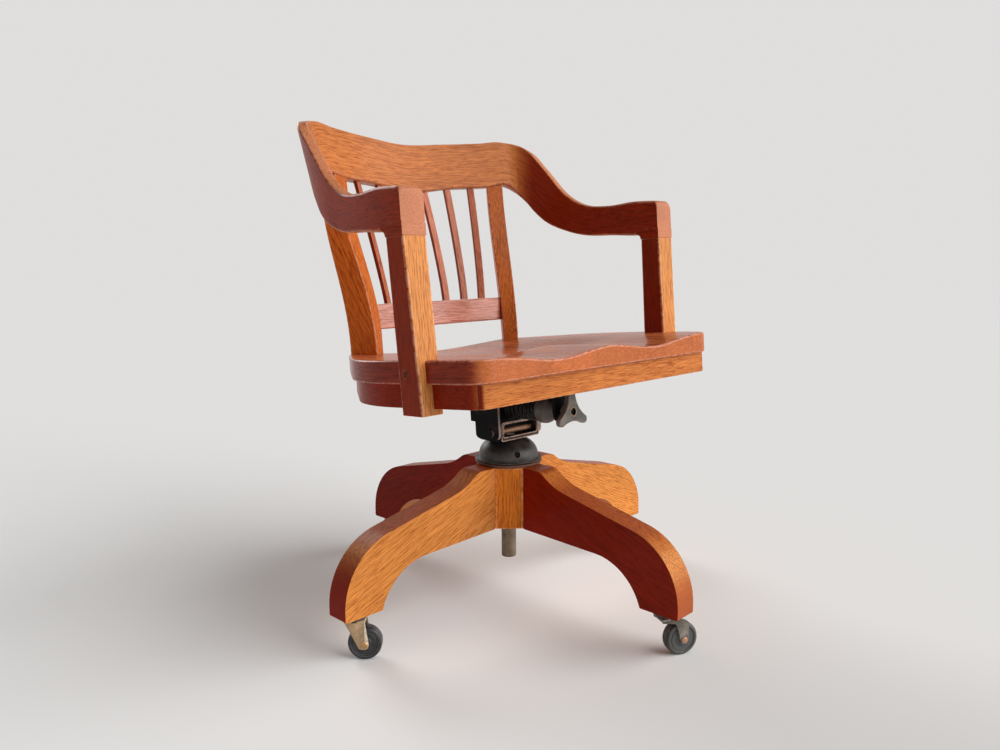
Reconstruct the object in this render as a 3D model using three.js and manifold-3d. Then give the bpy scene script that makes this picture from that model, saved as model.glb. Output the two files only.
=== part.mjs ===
// Bankers swivel chair: an oak seat and bow back on a sprung tilt iron, with a four-leg base on casters.
// Millimetres, +Z up. The sitter faces -Y and +X is the sitter's left.
// The origin is on the floor, on the swivel axis.

import * as THREE from "three";
import { mergeVertices } from "three/addons/utils/BufferGeometryUtils.js";
import Module from "manifold-3d";

const wasm = await Module();
wasm.setup();

const { cos, sin, tan } = Math;
const { degToRad: radians, lerp, smoothstep } = THREE.MathUtils;
const X = new THREE.Vector3(1, 0, 0);
const Y = new THREE.Vector3(0, 1, 0);
const Z = new THREE.Vector3(0, 0, 1);

// Clearances
const seam = 0.3; // between pieces that touch
const headGap = 0.6; // between the curved crest and the heads of posts and slats
const runningGap = 0.5; // between pieces that turn or slide on each other
const overrun = 2; // how far a cutting solid passes the surface that it cuts
const weld = 1e-3; // how near two points lie that are one point

// Faceting, in degrees and counts
const facetTurn = radians(15);
const turnedSides = 24;
const wheelSides = 16;
const smallSides = 10;
const socketSides = 6;
const domeSteps = 5;
const bellSteps = 5;
const edgeSteps = 2;
const lobeSteps = 6;
const waistSteps = 5;

// Casters: the wheel sets the height of the fork, the fork that of the leg's foot
const wheelRadius = 25.4;
const wheelWidth = 19;
const wheelCrown = 3;
const wheelTread = 6.4;
const wheelGrooveRadius = wheelRadius - wheelTread;
const wheelGrooveWidth = 2.4;
const wheelGrooveDepth = 1.6;
const wheelHubRadius = 9;
const wheelHubRise = 1;
const wheelHeadroom = 7.7;
const axleRadius = 3.2;
const axleHeadRadius = 5.2;
const axleHeadThickness = 2.2;
const axleCrownShare = 0.6;
const cheekThickness = 2.4;
const cheekEndRadius = 7.5;
const cheekFrontShare = 1.2;
const cheekRearShare = 1.1;
const cheekTopWidth = 30;
const forkTopThickness = 3;
const forkTopHeight = 2 * wheelRadius + wheelHeadroom + forkTopThickness;
const forkCupRadius = 14;
const forkCupHeight = 3.9;
const stemRadius = 4.2;
const stemLength = 38;
const socketWall = 1.8;
const socketCollarRadius = 13;
const socketCollarThickness = 2;
const footHeight = forkTopHeight + forkCupHeight + runningGap + socketCollarThickness + seam;
const flatDepth = 0.4;
const casters = [
  { leg: "left", place: 180, trail: 13.6, heading: 316.5 },
  { leg: "front", place: 270, trail: 22.4, heading: 335.7 },
  { leg: "right", place: 0, trail: 16, heading: 300 },
  { leg: "back", place: 90, trail: 16, heading: 150 },
];

// Base: places along a leg are shares of its reach and of its rise above the foot
const baseTurn = radians(1.86);
const legTopHeight = 240.5;
const legThickness = 40.6;
const legTipRadius = 357.5;
const legEdge = 2.5;
const postApothem = 53.7;
const postEdge = 1.5;
const legRoot = postApothem + seam;
const legReach = legTipRadius - legRoot;
const legRise = legTopHeight - footHeight;
const footLength = 66.5;
const stemInset = 31.5;
const stemReach = legTipRadius - stemInset;
const legRootShare = 0.3906;
const legArchShares = { reach: 0.7143, height: 0.3569, radius: 0.5282 };
const legShoulderShares = { height: 0.5717, radius: 0.5978 };
const legNeckShares = { reach: 0.2254, height: 0.8717, radius: 0.5804 };
const legCrownShares = { reach: 0.1173, radius: 0.1451 };
const postBottomRise = 0.5;
const postBottomHeight = footHeight + legRootShare * legRise + postBottomRise;

// Swivel column, from the base plate up to the seat
const spindleRadius = 12.65;
const spindleHang = 65;
const spindleBottomHeight = postBottomHeight - spindleHang;
const spindleChamferShare = 0.125;
const bushWall = 5;
const bushFlangeRadius = 30;
const bushFlangeThickness = 4;
const platePastPost = 3.5;
const plateRadius = postApothem + platePastPost;
const plateThickness = 4.6;
const plateEdge = 1.5;
const capBottom = legTopHeight + plateThickness + 2 * seam;
const capBrimInset = 0.2;
const capBrimRadius = plateRadius - capBrimInset;
const capBrimHeight = 3.2;
const capBrimWidth = 6;
const capShoulderRadius = capBrimRadius - capBrimWidth;
const capShoulderHeight = 1.5;
const capHeight = 35;
const capNeckRadius = 24;
const setScrewRadius = 2.8;
const setScrewLength = 16;
const setScrewRise = 16;
const setScrewSocketRadius = 1.4;
const setScrewSocketDepth = 3;
const setScrewTurn = radians(-26);
const setScrewSink = 4;

// Tilt iron, up the column: cap, yoke, pin, and the seat above the pin
const yokeNeckHeight = capBottom + capHeight + seam;
const yokeNeckLength = 1;
const yokeNeckRadius = 23;
const yokeFloorHeight = yokeNeckHeight + yokeNeckLength;
const yokeFloorThickness = 6;
const yokeWallHeight = 44;
const yokeWallThickness = 4.6;
const yokeRounding = 8;
const spindleSeatHeight = yokeFloorHeight + yokeFloorThickness;
const pinY = -12;
const pinRise = 15;
const pinHeight = yokeFloorHeight + pinRise;
const pinRadius = 4.5;
const pinHeadRadius = 7;
const pinHeadThickness = 3;
const yokeFrontReach = 14;
const yokeRearReach = 39;
const yokeFront = pinY - yokeFrontReach;
const yokeRear = pinY + yokeRearReach;

// Seat group: it leans back about the pivot pin
const seatLean = radians(4.5);
const seatSetback = 7.2;
const seatRise = 111.6;
const seatHeight = pinHeight + seatRise;
const seatThickness = 33;
const seatFront = 232;
const seatFrontCornerX = 266.3;
const seatFrontRadius = 36;
const seatWaistX = 307.3;
const seatWaistY = 3.5;
const seatWaistRadius = 200;
const seatRearY = 195;
const seatRearDrop = 5;
const seatRearCornerX = 186;
const seatRearCornerY = seatRearY - seatRearDrop;
const seatRearRadius = 30;
const seatRearBulge = 900;
const seatEdge = 5;
const seatUnderEdge = 2;
const thighSpacing = 110;
const thighWidth = 75;
const thighDepth = 12;
const thighStart = -60;
const thighEnd = 100;
const dishDepth = 15;
const dishWidth = 150;
const dishStart = -120;
const dishFull = 0;
const dishRise = 3;
const dishRiseStart = 120;
const topRingShares = [0.88, 0.68, 0.44, 0.18];
const outlineStep = 44;

// Apron under the seat
const apronDepth = 34;
const apronInset = 9;
const apronFrontInset = 8;
const apronFrontY = seatFront - apronFrontInset;
const apronFrontThickness = 22;
const apronFrontRounding = 5;
const apronEndInset = 11.3;
const apronFrontHalf = seatFrontCornerX - apronEndInset;
const apronSideThickness = 36;
const apronSideInset = 66.3;
const apronSideFrom = seatFrontCornerX - apronSideInset;
const apronBackInset = 37;
const apronBackCut = seatRearY - apronBackInset;

// Bow: the crest rail and the arms, drawn along one mid-line
const bowRearPastSeat = 40.6;
const bowRearY = seatRearY + bowRearPastSeat;
const crestRadius = 565;
const crestTurn = radians(22.2);
const cornerRadius = 63.5;
const cornerTurn = radians(55.8);
const armTurn = radians(12.1);
const armRun = 286.6;
const bowHalf = crestRadius * crestTurn + cornerRadius * cornerTurn + armRun;
const bowPeak = 421.2;
const bowStationShares = [0, 0.15, 0.3, 0.38, 0.46, 0.54, 0.62, 0.7, 0.8, 0.9, 1];
const bowTopShares = [0.963, 0.976, 0.987, 1, 0.967, 0.851, 0.728, 0.663, 0.643, 0.644, 0.632];
const bowBottomShares = [0.75, 0.772, 0.782, 0.789, 0.713, 0.609, 0.555, 0.525, 0.513, 0.5, 0.51];
const bowLean = 23.7;
const bowLeanFadeShares = [0.38, 0.68];
const crestTopThickness = 18;
const crestBottomThickness = 28;
const crestThinShares = [0.34, 0.5];
const armThickness = 40.6;
const armSwellShares = [0.62, 1];
const crestJointShare = 0.43;
const crestRounding = 4;
const armRounding = 6;
const armNoseRadius = 8;
const armNoseSteps = 3;
const crestSections = 29;
const armSections = 16;

// Arm posts: from below the apron up to the knee under the arm
const postPastApron = 8.7;
const postBottomDrop = apronDepth + postPastApron;
const postSetback = 88;
const postBottomFront = seatFront - postSetback;
const postBottomWidth = 37.3;
const postBottomDepth = 45.6;
const postProud = 7.5;
const postMiddleShare = (postSetback + postBottomDepth / 2) / (seatFront - seatWaistY);
const postBottomOuter = lerp(seatFrontCornerX, seatWaistX, postMiddleShare) + postProud;
const postSeamDepth = 38.9;
const postSeamProud = 0.8;
const postSeamFront = postSeamProud - bowPlan(bowHalf).y;
const postRounding = 3;
const armKneeRadius = 9.9;
const armKneeShare = 1 - (postSeamDepth + armKneeRadius) / bowHalf;
const armUnderside = bowPeak * alongBow(bowBottomShares, armKneeShare);
const postSeamHeight = armUnderside - armKneeRadius;
const plugRadius = 5.5;
const plugLength = 7;
const plugHeight = 15;
const plugSetback = 29;
const plugY = plugSetback - postBottomFront;
const plugProud = 0.4;

// Back
const backPostFootX = 166.1;
const backPostFootInset = 60.8;
const backPostFootY = seatRearY - backPostFootInset;
const backPostHeadX = 192.4;
const backPostHeadInset = 21;
const backPostHeadY = bowPlan(crestDistance(backPostHeadX)).y - backPostHeadInset;
const backPostFootRise = 2;
const backPostFootHeight = seatThickness + backPostFootRise;
const backPostFootWidth = 28.5;
const backPostHeadWidth = 33.5;
const backPostFootTurn = radians(32.4);
const backPostHeadTurn = radians(19);
const backPostFootDepth = 46.5;
const backPostHeadDepth = 26;
const backPostSideTurn = radians(38.5);
const backPostBendShare = 1.1;
const backPostRounding = 2.5;
const backPostLevels = 9;
const railRise = 37;
const railBottom = seatThickness + railRise;
const railHeight = 43;
const railTop = railBottom + railHeight;
const railInset = 37;
const railFront = seatRearY - railInset;
const railThickness = 24;
const railPastPost = 8.9;
const railHalf = backPostFootX + railPastPost;
const railRounding = 2.5;
const slatWidth = 13.5;
const slatThickness = 8;
const slatRounding = 1.5;
const slatSetback = 14;
const slatFootY = railFront + slatSetback;
const slatFootReach = 110;
const slatFootShares = [0.2, 0.6, 1];
const slatHeadReach = 131;
const slatHeadShares = [0.206, 0.603, 1];
const slatTurns = [radians(5), radians(16), radians(26)];
const slatHeadInset = 9;
const slatBendShare = 1.25;
const slatLevels = 5;

// Seat iron, in the seat's frame: places below and beside the pin follow the pin
const [pinSeatY, pinSeatZ] = inSeat(pinY, pinHeight);
const earSpread = 50;
const earThickness = 4.5;
const earFrontReach = 17.6;
const earRearReach = 50.4;
const earStepInset = 11;
const earFront = pinSeatY - earFrontReach;
const earRear = pinSeatY + earRearReach;
const earStepRear = earRear - earStepInset;
const earUnderPin = 9.8;
const earBottomDrop = earUnderPin - pinSeatZ;
const earStepHeight = 28;
const earStepDrop = earBottomDrop - earStepHeight;
const earCornerRadius = 8;
const ironTopThickness = 5;
const ironRailDrop = 26;
const ironFront = -133;
const ironRear = 62;
const ironLugHalf = 78;
const ironLugWidth = 26;
const screwInset = 12;
const screwSpread = ironLugHalf - screwInset;
const screwRadius = 2.6;
const screwHeadRadius = 5;
const screwHeadThickness = 2.6;
const screwHeadShare = 0.7;
const screwGrip = 16;
const screwPointShare = 0.6;
const screwSlotWidth = 1.2;
const screwSlotDepth = 1;
const yokeWallHalf = earSpread - earThickness - runningGap - yokeWallThickness;

// Window plate across the yoke's front, from the yoke's floor up
const windowPlateThickness = 2.6;
const windowPlateInset = 1;
const windowPlateHalf = yokeWallHalf + yokeWallThickness - windowPlateInset;
const windowPlateRise = 2.5;
const windowPlateBottom = yokeFloorHeight + windowPlateRise;
const windowPlateHeight = 31.9;
const windowSide = 5;
const windowSill = 6.5;
const windowHead = 3.4;
const windowRounding = 4;

// Tension gear along the bolt, from the seat iron's front wall back to the yoke's upright
const boltRise = 38.2;
const boltDrop = -pinSeatZ - boltRise;
const boltRadius = 5.4;
const wallInset = 6;
const wallY = ironFront + wallInset;
const wallThickness = 4.5;
const wallHalfWidth = 19;
const wallRounding = 17;
const knobGap = 5;
const knobHubLength = 8;
const knobThickness = 10;
const knobFaceY = wallY - knobGap - knobHubLength - knobThickness;
const knobReach = 36;
const knobLobeRadius = 7;
const knobLobeTurn = radians(75);
const knobWaistReach = 15.5;
const knobEdge = 1.6;
const knobHubRadius = 12;
const knobHoleRadius = 6;
const knobRecess = 5;
const boltCollarRadius = 9;
const boltCollarLength = 4;
const boltCollarGap = 3.2;
const cupNeckY = wallY + wallThickness + boltCollarGap + boltCollarLength + seam;
const cupLength = 31;
const cupRimY = cupNeckY + cupLength;
const cupDepth = 6;
const cupFloorY = cupRimY - cupDepth;
const cupNeckRadius = 12.5;
const cupWall = 2;
const cupBellShare = 0.8;
const boltTail = 32;
const boltRearY = cupFloorY + boltTail;
const springRadius = 19.4;
const springWire = 2.5;
const springTurns = 9;
const springClosedTurns = 1;
const springClosedGap = 0.6;
const springStepsPerTurn = 8;
const springSides = 5;
const cupRoom = 0.6;
const cupRimRadius = springRadius + cupRoom + cupWall;
const uprightThickness = 6;
const uprightHalfWidth = 22;
const uprightPastSpring = 2.6;
const uprightTopDrop = boltDrop - springRadius - uprightPastSpring;
const uprightReach = 5;
const uprightPlace = inSeat(pinY + uprightReach, yokeFloorHeight + yokeFloorThickness / 2);
const [uprightSeatY, uprightSeatZ] = uprightPlace;

// Materials
function finish(color, roughness, metalness = 0) {
  return () => new THREE.MeshStandardMaterial({ color, roughness, metalness });
}
const oakSeat = finish(0xa8552c, 0.35);
const oakRail = finish(0xb86a35, 0.4);
const oakBow = finish(0xa65a2a, 0.35);
const oakLeg = finish(0xb4622c, 0.42);
const castIron = finish(0x2b2b2d, 0.55, 0.6);
const wornSteel = finish(0x6a625a, 0.5, 0.8);
const forkSteel = finish(0x8a7a5c, 0.5, 0.7);
const rubber = finish(0x2a2b2e, 0.7);

// A closed geometry from points and triangles, with its faces turned outwards
function closedGeometry(points, triangles) {
  let volume = 0;
  for (let i = 0; i < triangles.length; i += 3) {
    const [a, b, c] = triangles.slice(i, i + 3).map((k) => points[k]);
    volume += a.dot(new THREE.Vector3().crossVectors(b, c));
  }
  const index = volume < 0 ? triangles.slice().reverse() : triangles;
  return new THREE.BufferGeometry().setFromPoints(points).setIndex(index);
}

// A solid drawn through rings of points, closed at both ends
function loft(rings) {
  const count = rings[0].length;
  const points = rings.flat();
  const triangles = [];
  for (let r = 0; r + 1 < rings.length; r++) {
    for (let i = 0; i < count; i++) {
      const a = r * count + i;
      const b = r * count + ((i + 1) % count);
      triangles.push(a, b, b + count, a, b + count, a + count);
    }
  }
  for (const r of [0, rings.length - 1]) {
    const middle = points.length;
    const centre = rings[r].reduce((sum, p) => sum.add(p), new THREE.Vector3());
    points.push(centre.divideScalar(count));
    for (let i = 0; i < count; i++) {
      const a = r * count + i;
      const b = r * count + ((i + 1) % count);
      triangles.push(...(r ? [a, b, middle] : [b, a, middle]));
    }
  }
  return closedGeometry(points, triangles);
}

// The points of a closed outline whose corners are given as [x, y, radius].
// A fillet is no larger than the edges beside it allow.
function outlinePoints(corners, steps) {
  const spots = corners.map(([x, y]) => new THREE.Vector2(x, y));
  const next = (list, i) => list[(i + 1) % list.length];
  const toward = (from, to) => to.clone().sub(from).normalize();
  const halves = spots.map((spot, i) => {
    const straight = toward(spot, spots.at(i - 1)).dot(toward(spot, next(spots, i)));
    return Math.acos(Math.max(-1, Math.min(1, straight))) / 2;
  });
  const reaches = corners.map(([, , radius], i) => radius / tan(halves[i]));
  const roomShares = spots.map((spot, i) => {
    const wanted = reaches[i] + next(reaches, i);
    return Math.min(1, spot.distanceTo(next(spots, i)) / wanted);
  });
  return spots.flatMap((spot, i) => {
    const turn = Math.PI - 2 * halves[i];
    const count = corners[i][2] ? steps ?? Math.ceil(turn / facetTurn) : 0;
    if (!count) return [spot];
    const back = toward(spot, spots.at(i - 1));
    const ahead = toward(spot, next(spots, i));
    const reach = reaches[i] * Math.min(roomShares.at(i - 1), roomShares[i]);
    const side = back.cross(ahead) > 0 ? -1 : 1;
    const toCentre = back.clone().add(ahead).setLength(reach / cos(halves[i]));
    const spoke = back.multiplyScalar(reach).sub(toCentre);
    const centre = toCentre.clone().add(spot);
    return Array.from({ length: count + 1 }, (_, k) => {
      const angle = (side * turn * k) / count;
      return spoke.clone().rotateAround(new THREE.Vector2(), angle).add(centre);
    });
  });
}

// A flat board of an outline in XY, from z = 0 up to its thickness, with its edges taken off
function board(points, thickness, edge = 0, holes = []) {
  const shape = new THREE.Shape(points);
  shape.holes = holes.map((hole) => new THREE.Path(hole));
  const geometry = new THREE.ExtrudeGeometry(shape, {
    depth: thickness - 2 * edge,
    bevelEnabled: edge > 0,
    bevelThickness: edge,
    bevelSize: edge,
    bevelOffset: -edge,
    bevelSegments: 1,
  });
  return geometry.translate(0, 0, edge);
}

// A board drawn in the YZ plane, between two places along X
function sideBoard(points, fromX, toX, edge = 0, holes = []) {
  const turned = new THREE.Matrix4().makeBasis(Y, Z, X);
  return board(points, toX - fromX, edge, holes).applyMatrix4(turned).translate(fromX, 0, 0);
}

// A board drawn in the XZ plane, between two places along Y
function frontBoard(points, fromY, toY, edge = 0, holes = []) {
  const turned = new THREE.Matrix4().makeBasis(X, Z, Y.clone().negate());
  return board(points, toY - fromY, edge, holes).applyMatrix4(turned).translate(0, toY, 0);
}

function rectangle(fromX, fromY, toX, toY, radius = 0) {
  const corners = [
    [fromX, fromY, radius],
    [toX, fromY, radius],
    [toX, toY, radius],
    [fromX, toY, radius],
  ];
  return outlinePoints(corners);
}

function circle(x, y, radius, sides = smallSides) {
  const angles = Array.from({ length: sides }, (_, i) => (i / sides) * 2 * Math.PI);
  return angles.map((a) => new THREE.Vector2(x + radius * cos(a), y + radius * sin(a)));
}

// A turned piece about Z from [radius, z] points, closed on itself or on the axis
function turned(profile, sides = turnedSides) {
  const points = profile.map(([radius, z]) => new THREE.Vector2(radius, z));
  if (profile[0][0] > 0) points.push(points[0].clone());
  const geometry = new THREE.LatheGeometry(points, sides);
  geometry.rotateX(Math.PI / 2);
  const plain = mergeVertices(onlyPositions(geometry), weld);
  const kept = [];
  for (let i = 0; i < plain.index.count; i += 3) {
    const [a, b, c] = plain.index.array.slice(i, i + 3);
    if (a !== b && b !== c && c !== a) kept.push(a, b, c);
  }
  return closedGeometry(verticesOf(plain), kept);
}

// The same turned piece with its axis laid along +Y or +X
function alongY(geometry) {
  return geometry.rotateX(-Math.PI / 2);
}

function alongX(geometry) {
  return geometry.rotateY(Math.PI / 2);
}

function rod(radius, fromZ, toZ, sides = smallSides) {
  return turned([[0, fromZ], [radius, fromZ], [radius, toZ], [0, toZ]], sides);
}

function verticesOf(geometry) {
  const places = geometry.getAttribute("position");
  return Array.from({ length: places.count }, (_, i) => new THREE.Vector3().fromBufferAttribute(places, i));
}

function onlyPositions(geometry) {
  const plain = new THREE.BufferGeometry();
  plain.setAttribute("position", geometry.getAttribute("position"));
  return geometry.index ? plain.setIndex(geometry.index) : plain;
}

// Solids for cuts and joins
function solidOf(geometry) {
  const merged = mergeVertices(onlyPositions(geometry), weld);
  const vertProperties = merged.getAttribute("position").array;
  const triVerts = new Uint32Array(merged.index.array);
  return new wasm.Manifold(new wasm.Mesh({ numProp: 3, vertProperties, triVerts }));
}

function geometryOf(solid) {
  const mesh = solid.getMesh();
  const geometry = new THREE.BufferGeometry();
  geometry.setAttribute("position", new THREE.BufferAttribute(mesh.vertProperties, 3));
  return geometry.setIndex(new THREE.BufferAttribute(mesh.triVerts, 1));
}

function cut(geometry, ...tools) {
  return geometryOf(tools.reduce((solid, tool) => solid.subtract(solidOf(tool)), solidOf(geometry)));
}

function join(geometry, ...others) {
  return geometryOf(others.reduce((solid, other) => solid.add(solidOf(other)), solidOf(geometry)));
}

function common(geometry, other) {
  return geometryOf(solidOf(geometry).intersect(solidOf(other)));
}

function box(from, to) {
  const size = to.map((value, i) => value - from[i]);
  const middle = to.map((value, i) => (value + from[i]) / 2);
  return new THREE.BoxGeometry(...size).translate(...middle);
}

function mirrored(geometry) {
  const vertices = verticesOf(geometry);
  const triangles = geometry.index ? Array.from(geometry.index.array) : vertices.map((_, i) => i);
  return closedGeometry(vertices.map((p) => new THREE.Vector3(-p.x, p.y, p.z)), triangles);
}

const chair = new THREE.Group();
const base = new THREE.Group();
base.rotation.z = baseTurn;
const seat = new THREE.Group();
seat.rotation.x = -seatLean;
seat.position.set(0, seatSetback * cos(seatLean), seatHeight - seatSetback * sin(seatLean));
chair.add(base, seat);

function place(name, geometry, material, group = chair) {
  const mesh = new THREE.Mesh(geometry, material());
  mesh.name = name;
  group.add(mesh);
  return mesh;
}

// A place on the swivel column, as y and z in the seat's own frame
function inSeat(y, height) {
  const rise = height - seatHeight + seatSetback * sin(seatLean);
  const reach = y - seatSetback * cos(seatLean);
  return [reach * cos(seatLean) - rise * sin(seatLean), reach * sin(seatLean) + rise * cos(seatLean)];
}

// Legs and hub post
function legOutline() {
  const along = (share) => legRoot + share * legReach;
  const up = (share) => footHeight + share * legRise;
  const arch = legArchShares;
  const shoulder = legShoulderShares;
  const neck = legNeckShares;
  const crown = legCrownShares;
  return outlinePoints([
    [legRoot, up(legRootShare), 0],
    [along(arch.reach), up(arch.height), arch.radius * legRise],
    [legTipRadius - footLength, footHeight, 0],
    [legTipRadius, footHeight, 0],
    [legTipRadius, up(shoulder.height), shoulder.radius * legRise],
    [along(neck.reach), up(neck.height), neck.radius * legRise],
    [along(crown.reach), legTopHeight, crown.radius * legRise],
    [legRoot, legTopHeight, 0],
  ]);
}

function legGeometry() {
  const side = board(legOutline(), legThickness, legEdge);
  side.rotateX(Math.PI / 2).translate(0, legThickness / 2, 0);
  const boreRadius = stemRadius + runningGap + socketWall + seam;
  const bore = rod(boreRadius, footHeight - overrun, footHeight + stemLength + seam);
  return cut(side, bore.translate(stemReach, 0, 0));
}

function makeBase() {
  const eighth = Math.PI / 8;
  const rim = postApothem / cos(eighth);
  const corners = Array.from({ length: 8 }, (_, i) => {
    const angle = eighth + i * 2 * eighth;
    return new THREE.Vector2(rim * cos(angle), rim * sin(angle));
  });
  const bushRadius = spindleRadius + runningGap + bushWall;
  const height = legTopHeight - postBottomHeight;
  const octagon = board(corners, height, postEdge).translate(0, 0, postBottomHeight);
  const bore = rod(bushRadius + seam, postBottomHeight - overrun, legTopHeight + overrun, turnedSides);
  const flangeSeat = legTopHeight - bushFlangeThickness - seam;
  const sink = rod(bushFlangeRadius + seam, flangeSeat, legTopHeight + overrun, turnedSides);
  place("hub_post", cut(octagon, bore, sink), oakLeg, base);
  const inside = spindleRadius + runningGap;
  const bushProfile = [
    [inside, postBottomHeight],
    [bushRadius, postBottomHeight],
    [bushRadius, flangeSeat + seam],
    [bushFlangeRadius, flangeSeat + seam],
    [bushFlangeRadius, legTopHeight],
    [inside, legTopHeight],
  ];
  place("hub_bush", turned(bushProfile), castIron, base);
  const plateBottom = legTopHeight + seam;
  const plateProfile = [
    [inside, plateBottom],
    [plateRadius, plateBottom],
    [plateRadius, plateBottom + plateThickness - plateEdge],
    [plateRadius - plateEdge, plateBottom + plateThickness],
    [inside, plateBottom + plateThickness],
  ];
  place("base_plate", turned(plateProfile), castIron, base);
  for (const { leg, place: degrees } of casters) {
    place("leg_" + leg, legGeometry(), oakLeg, base).rotation.z = radians(degrees);
  }
}

// Casters: each turns about its stem, and its wheel turns on the axle
function socketGeometry() {
  const inside = stemRadius + runningGap;
  const outside = inside + socketWall;
  const collarTop = footHeight - seam;
  return turned([
    [inside, collarTop - socketCollarThickness],
    [socketCollarRadius, collarTop - socketCollarThickness],
    [socketCollarRadius, collarTop],
    [outside, collarTop],
    [outside, footHeight + stemLength],
    [inside, footHeight + stemLength],
  ], smallSides);
}

function cheekOutline(trail) {
  const half = cheekTopWidth / 2;
  return outlinePoints([
    [-half, forkTopHeight, 0],
    [trail - cheekEndRadius * cheekFrontShare, wheelRadius - cheekEndRadius, cheekEndRadius],
    [trail + cheekEndRadius * cheekRearShare, wheelRadius - cheekEndRadius, cheekEndRadius],
    [half, forkTopHeight, 0],
  ]);
}

function forkGeometry(trail) {
  const inner = wheelWidth / 2 + wheelHubRise + runningGap;
  const outer = inner + cheekThickness;
  const half = cheekTopWidth / 2;
  const hole = circle(trail, wheelRadius, axleRadius + seam);
  const cheeks = [-outer, inner].map((from) => {
    return frontBoard(cheekOutline(trail), from, from + cheekThickness, 0, [hole]);
  });
  const topBoard = board(rectangle(-half, -outer, half, outer), forkTopThickness);
  topBoard.translate(0, 0, forkTopHeight - forkTopThickness);
  const cup = rod(forkCupRadius, forkTopHeight - forkTopThickness, forkTopHeight + forkCupHeight);
  const stem = rod(stemRadius, forkTopHeight, footHeight + stemLength - seam);
  return join(topBoard, ...cheeks, cup, stem);
}

function axleGeometry() {
  const outer = wheelWidth / 2 + wheelHubRise + runningGap + cheekThickness + seam;
  const head = outer + axleHeadThickness;
  const profile = [
    [0, -head],
    [axleHeadRadius * axleCrownShare, -head],
    [axleHeadRadius, -outer - axleHeadThickness / 2],
    [axleHeadRadius, -outer],
    [axleRadius, -outer],
    [axleRadius, outer],
    [axleHeadRadius, outer],
    [axleHeadRadius, outer + axleHeadThickness / 2],
    [axleHeadRadius * axleCrownShare, head],
    [0, head],
  ];
  return alongY(turned(profile, smallSides));
}

function wheelGeometry() {
  const half = wheelWidth / 2;
  const bore = axleRadius + runningGap;
  const face = [
    [wheelHubRadius, half + wheelHubRise],
    [wheelHubRadius + wheelHubRise, half],
    [wheelGrooveRadius - wheelGrooveWidth / 2, half],
    [wheelGrooveRadius, half - wheelGrooveDepth],
    [wheelGrooveRadius + wheelGrooveWidth / 2, half],
    [wheelRadius - wheelCrown, half],
    [wheelRadius, half - wheelCrown],
  ];
  const other = face.map(([radius, y]) => [radius, -y]).reverse();
  const profile = [[bore, half + wheelHubRise], ...face, ...other, [bore, -half - wheelHubRise]];
  const wheel = alongY(turned(profile, wheelSides));
  const reach = wheelRadius + overrun;
  const floorCut = box([-reach, -reach, -reach], [reach, reach, flatDepth - wheelRadius]);
  return cut(wheel, floorCut);
}

function makeCasters() {
  for (const { leg, place: degrees, trail, heading } of casters) {
    const stem = new THREE.Group();
    stem.rotation.z = radians(degrees);
    base.add(stem);
    const socket = place("caster_socket_" + leg, socketGeometry(), wornSteel, stem);
    socket.position.x = stemReach;
    const swivel = new THREE.Group();
    const angle = baseTurn + radians(degrees);
    swivel.position.set(stemReach * cos(angle), stemReach * sin(angle), -flatDepth);
    swivel.rotation.z = radians(heading);
    chair.add(swivel);
    place("caster_fork_" + leg, forkGeometry(trail), forkSteel, swivel);
    for (const [name, geometry, material] of [
      ["caster_axle_", axleGeometry(), wornSteel],
      ["caster_wheel_", wheelGeometry(), rubber],
    ]) {
      place(name + leg, geometry, material, swivel).position.set(trail, 0, wheelRadius);
    }
  }
}

// Swivel column: the domed cap turns on the plate and carries the spindle, which rises and falls in it
function makeCap() {
  const bore = spindleRadius + runningGap;
  const shoulder = capBottom + capBrimHeight + capShoulderHeight;
  const dome = Array.from({ length: domeSteps + 1 }, (_, i) => {
    const angle = (i / domeSteps) * (Math.PI / 2);
    const radius = lerp(capNeckRadius, capShoulderRadius, cos(angle));
    return [radius, lerp(shoulder, capBottom + capHeight, sin(angle))];
  });
  const profile = [
    [bore, capBottom],
    [capBrimRadius, capBottom],
    [capBrimRadius, capBottom + capBrimHeight],
    [capShoulderRadius, capBottom + capBrimHeight],
    ...dome,
    [bore, capBottom + capHeight],
  ];
  const height = capBottom + setScrewRise;
  const inner = capShoulderRadius - setScrewSink - setScrewLength;
  const hole = alongX(rod(setScrewRadius + seam, inner - seam, capBrimRadius + overrun));
  hole.translate(0, 0, height).rotateZ(setScrewTurn - Math.PI / 2);
  place("hub_cap", cut(turned(profile), hole), castIron);
  const outer = inner + setScrewLength;
  const screw = rod(setScrewRadius, inner, outer);
  const socket = rod(setScrewSocketRadius, outer - setScrewSocketDepth, capBrimRadius, socketSides);
  const screwed = alongX(cut(screw, socket)).translate(0, 0, height).rotateZ(setScrewTurn - Math.PI / 2);
  place("set_screw", screwed, wornSteel);
}

function makeSpindle() {
  const chamfer = spindleRadius * spindleChamferShare;
  const profile = [
    [0, spindleBottomHeight],
    [spindleRadius - chamfer, spindleBottomHeight],
    [spindleRadius, spindleBottomHeight + chamfer],
    [spindleRadius, spindleSeatHeight - seam],
    [0, spindleSeatHeight - seam],
  ];
  place("spindle", turned(profile), wornSteel);
}

// Yoke: a floor with a neck for the spindle, two walls for the pin and an upright behind the spring
function yokeWallOutline() {
  return outlinePoints([
    [yokeFront, yokeFloorHeight, yokeRounding],
    [yokeRear, yokeFloorHeight, yokeRounding],
    [yokeRear, yokeFloorHeight + yokeWallHeight, yokeRounding],
    [yokeFront, yokeFloorHeight + yokeWallHeight, yokeRounding],
  ]);
}

function uprightGeometry() {
  const outline = rectangle(-uprightHalfWidth, uprightSeatZ, uprightHalfWidth, -uprightTopDrop);
  const wall = frontBoard(outline, uprightSeatY, uprightSeatY + uprightThickness);
  seat.updateMatrix();
  return wall.applyMatrix4(seat.matrix);
}

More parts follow.
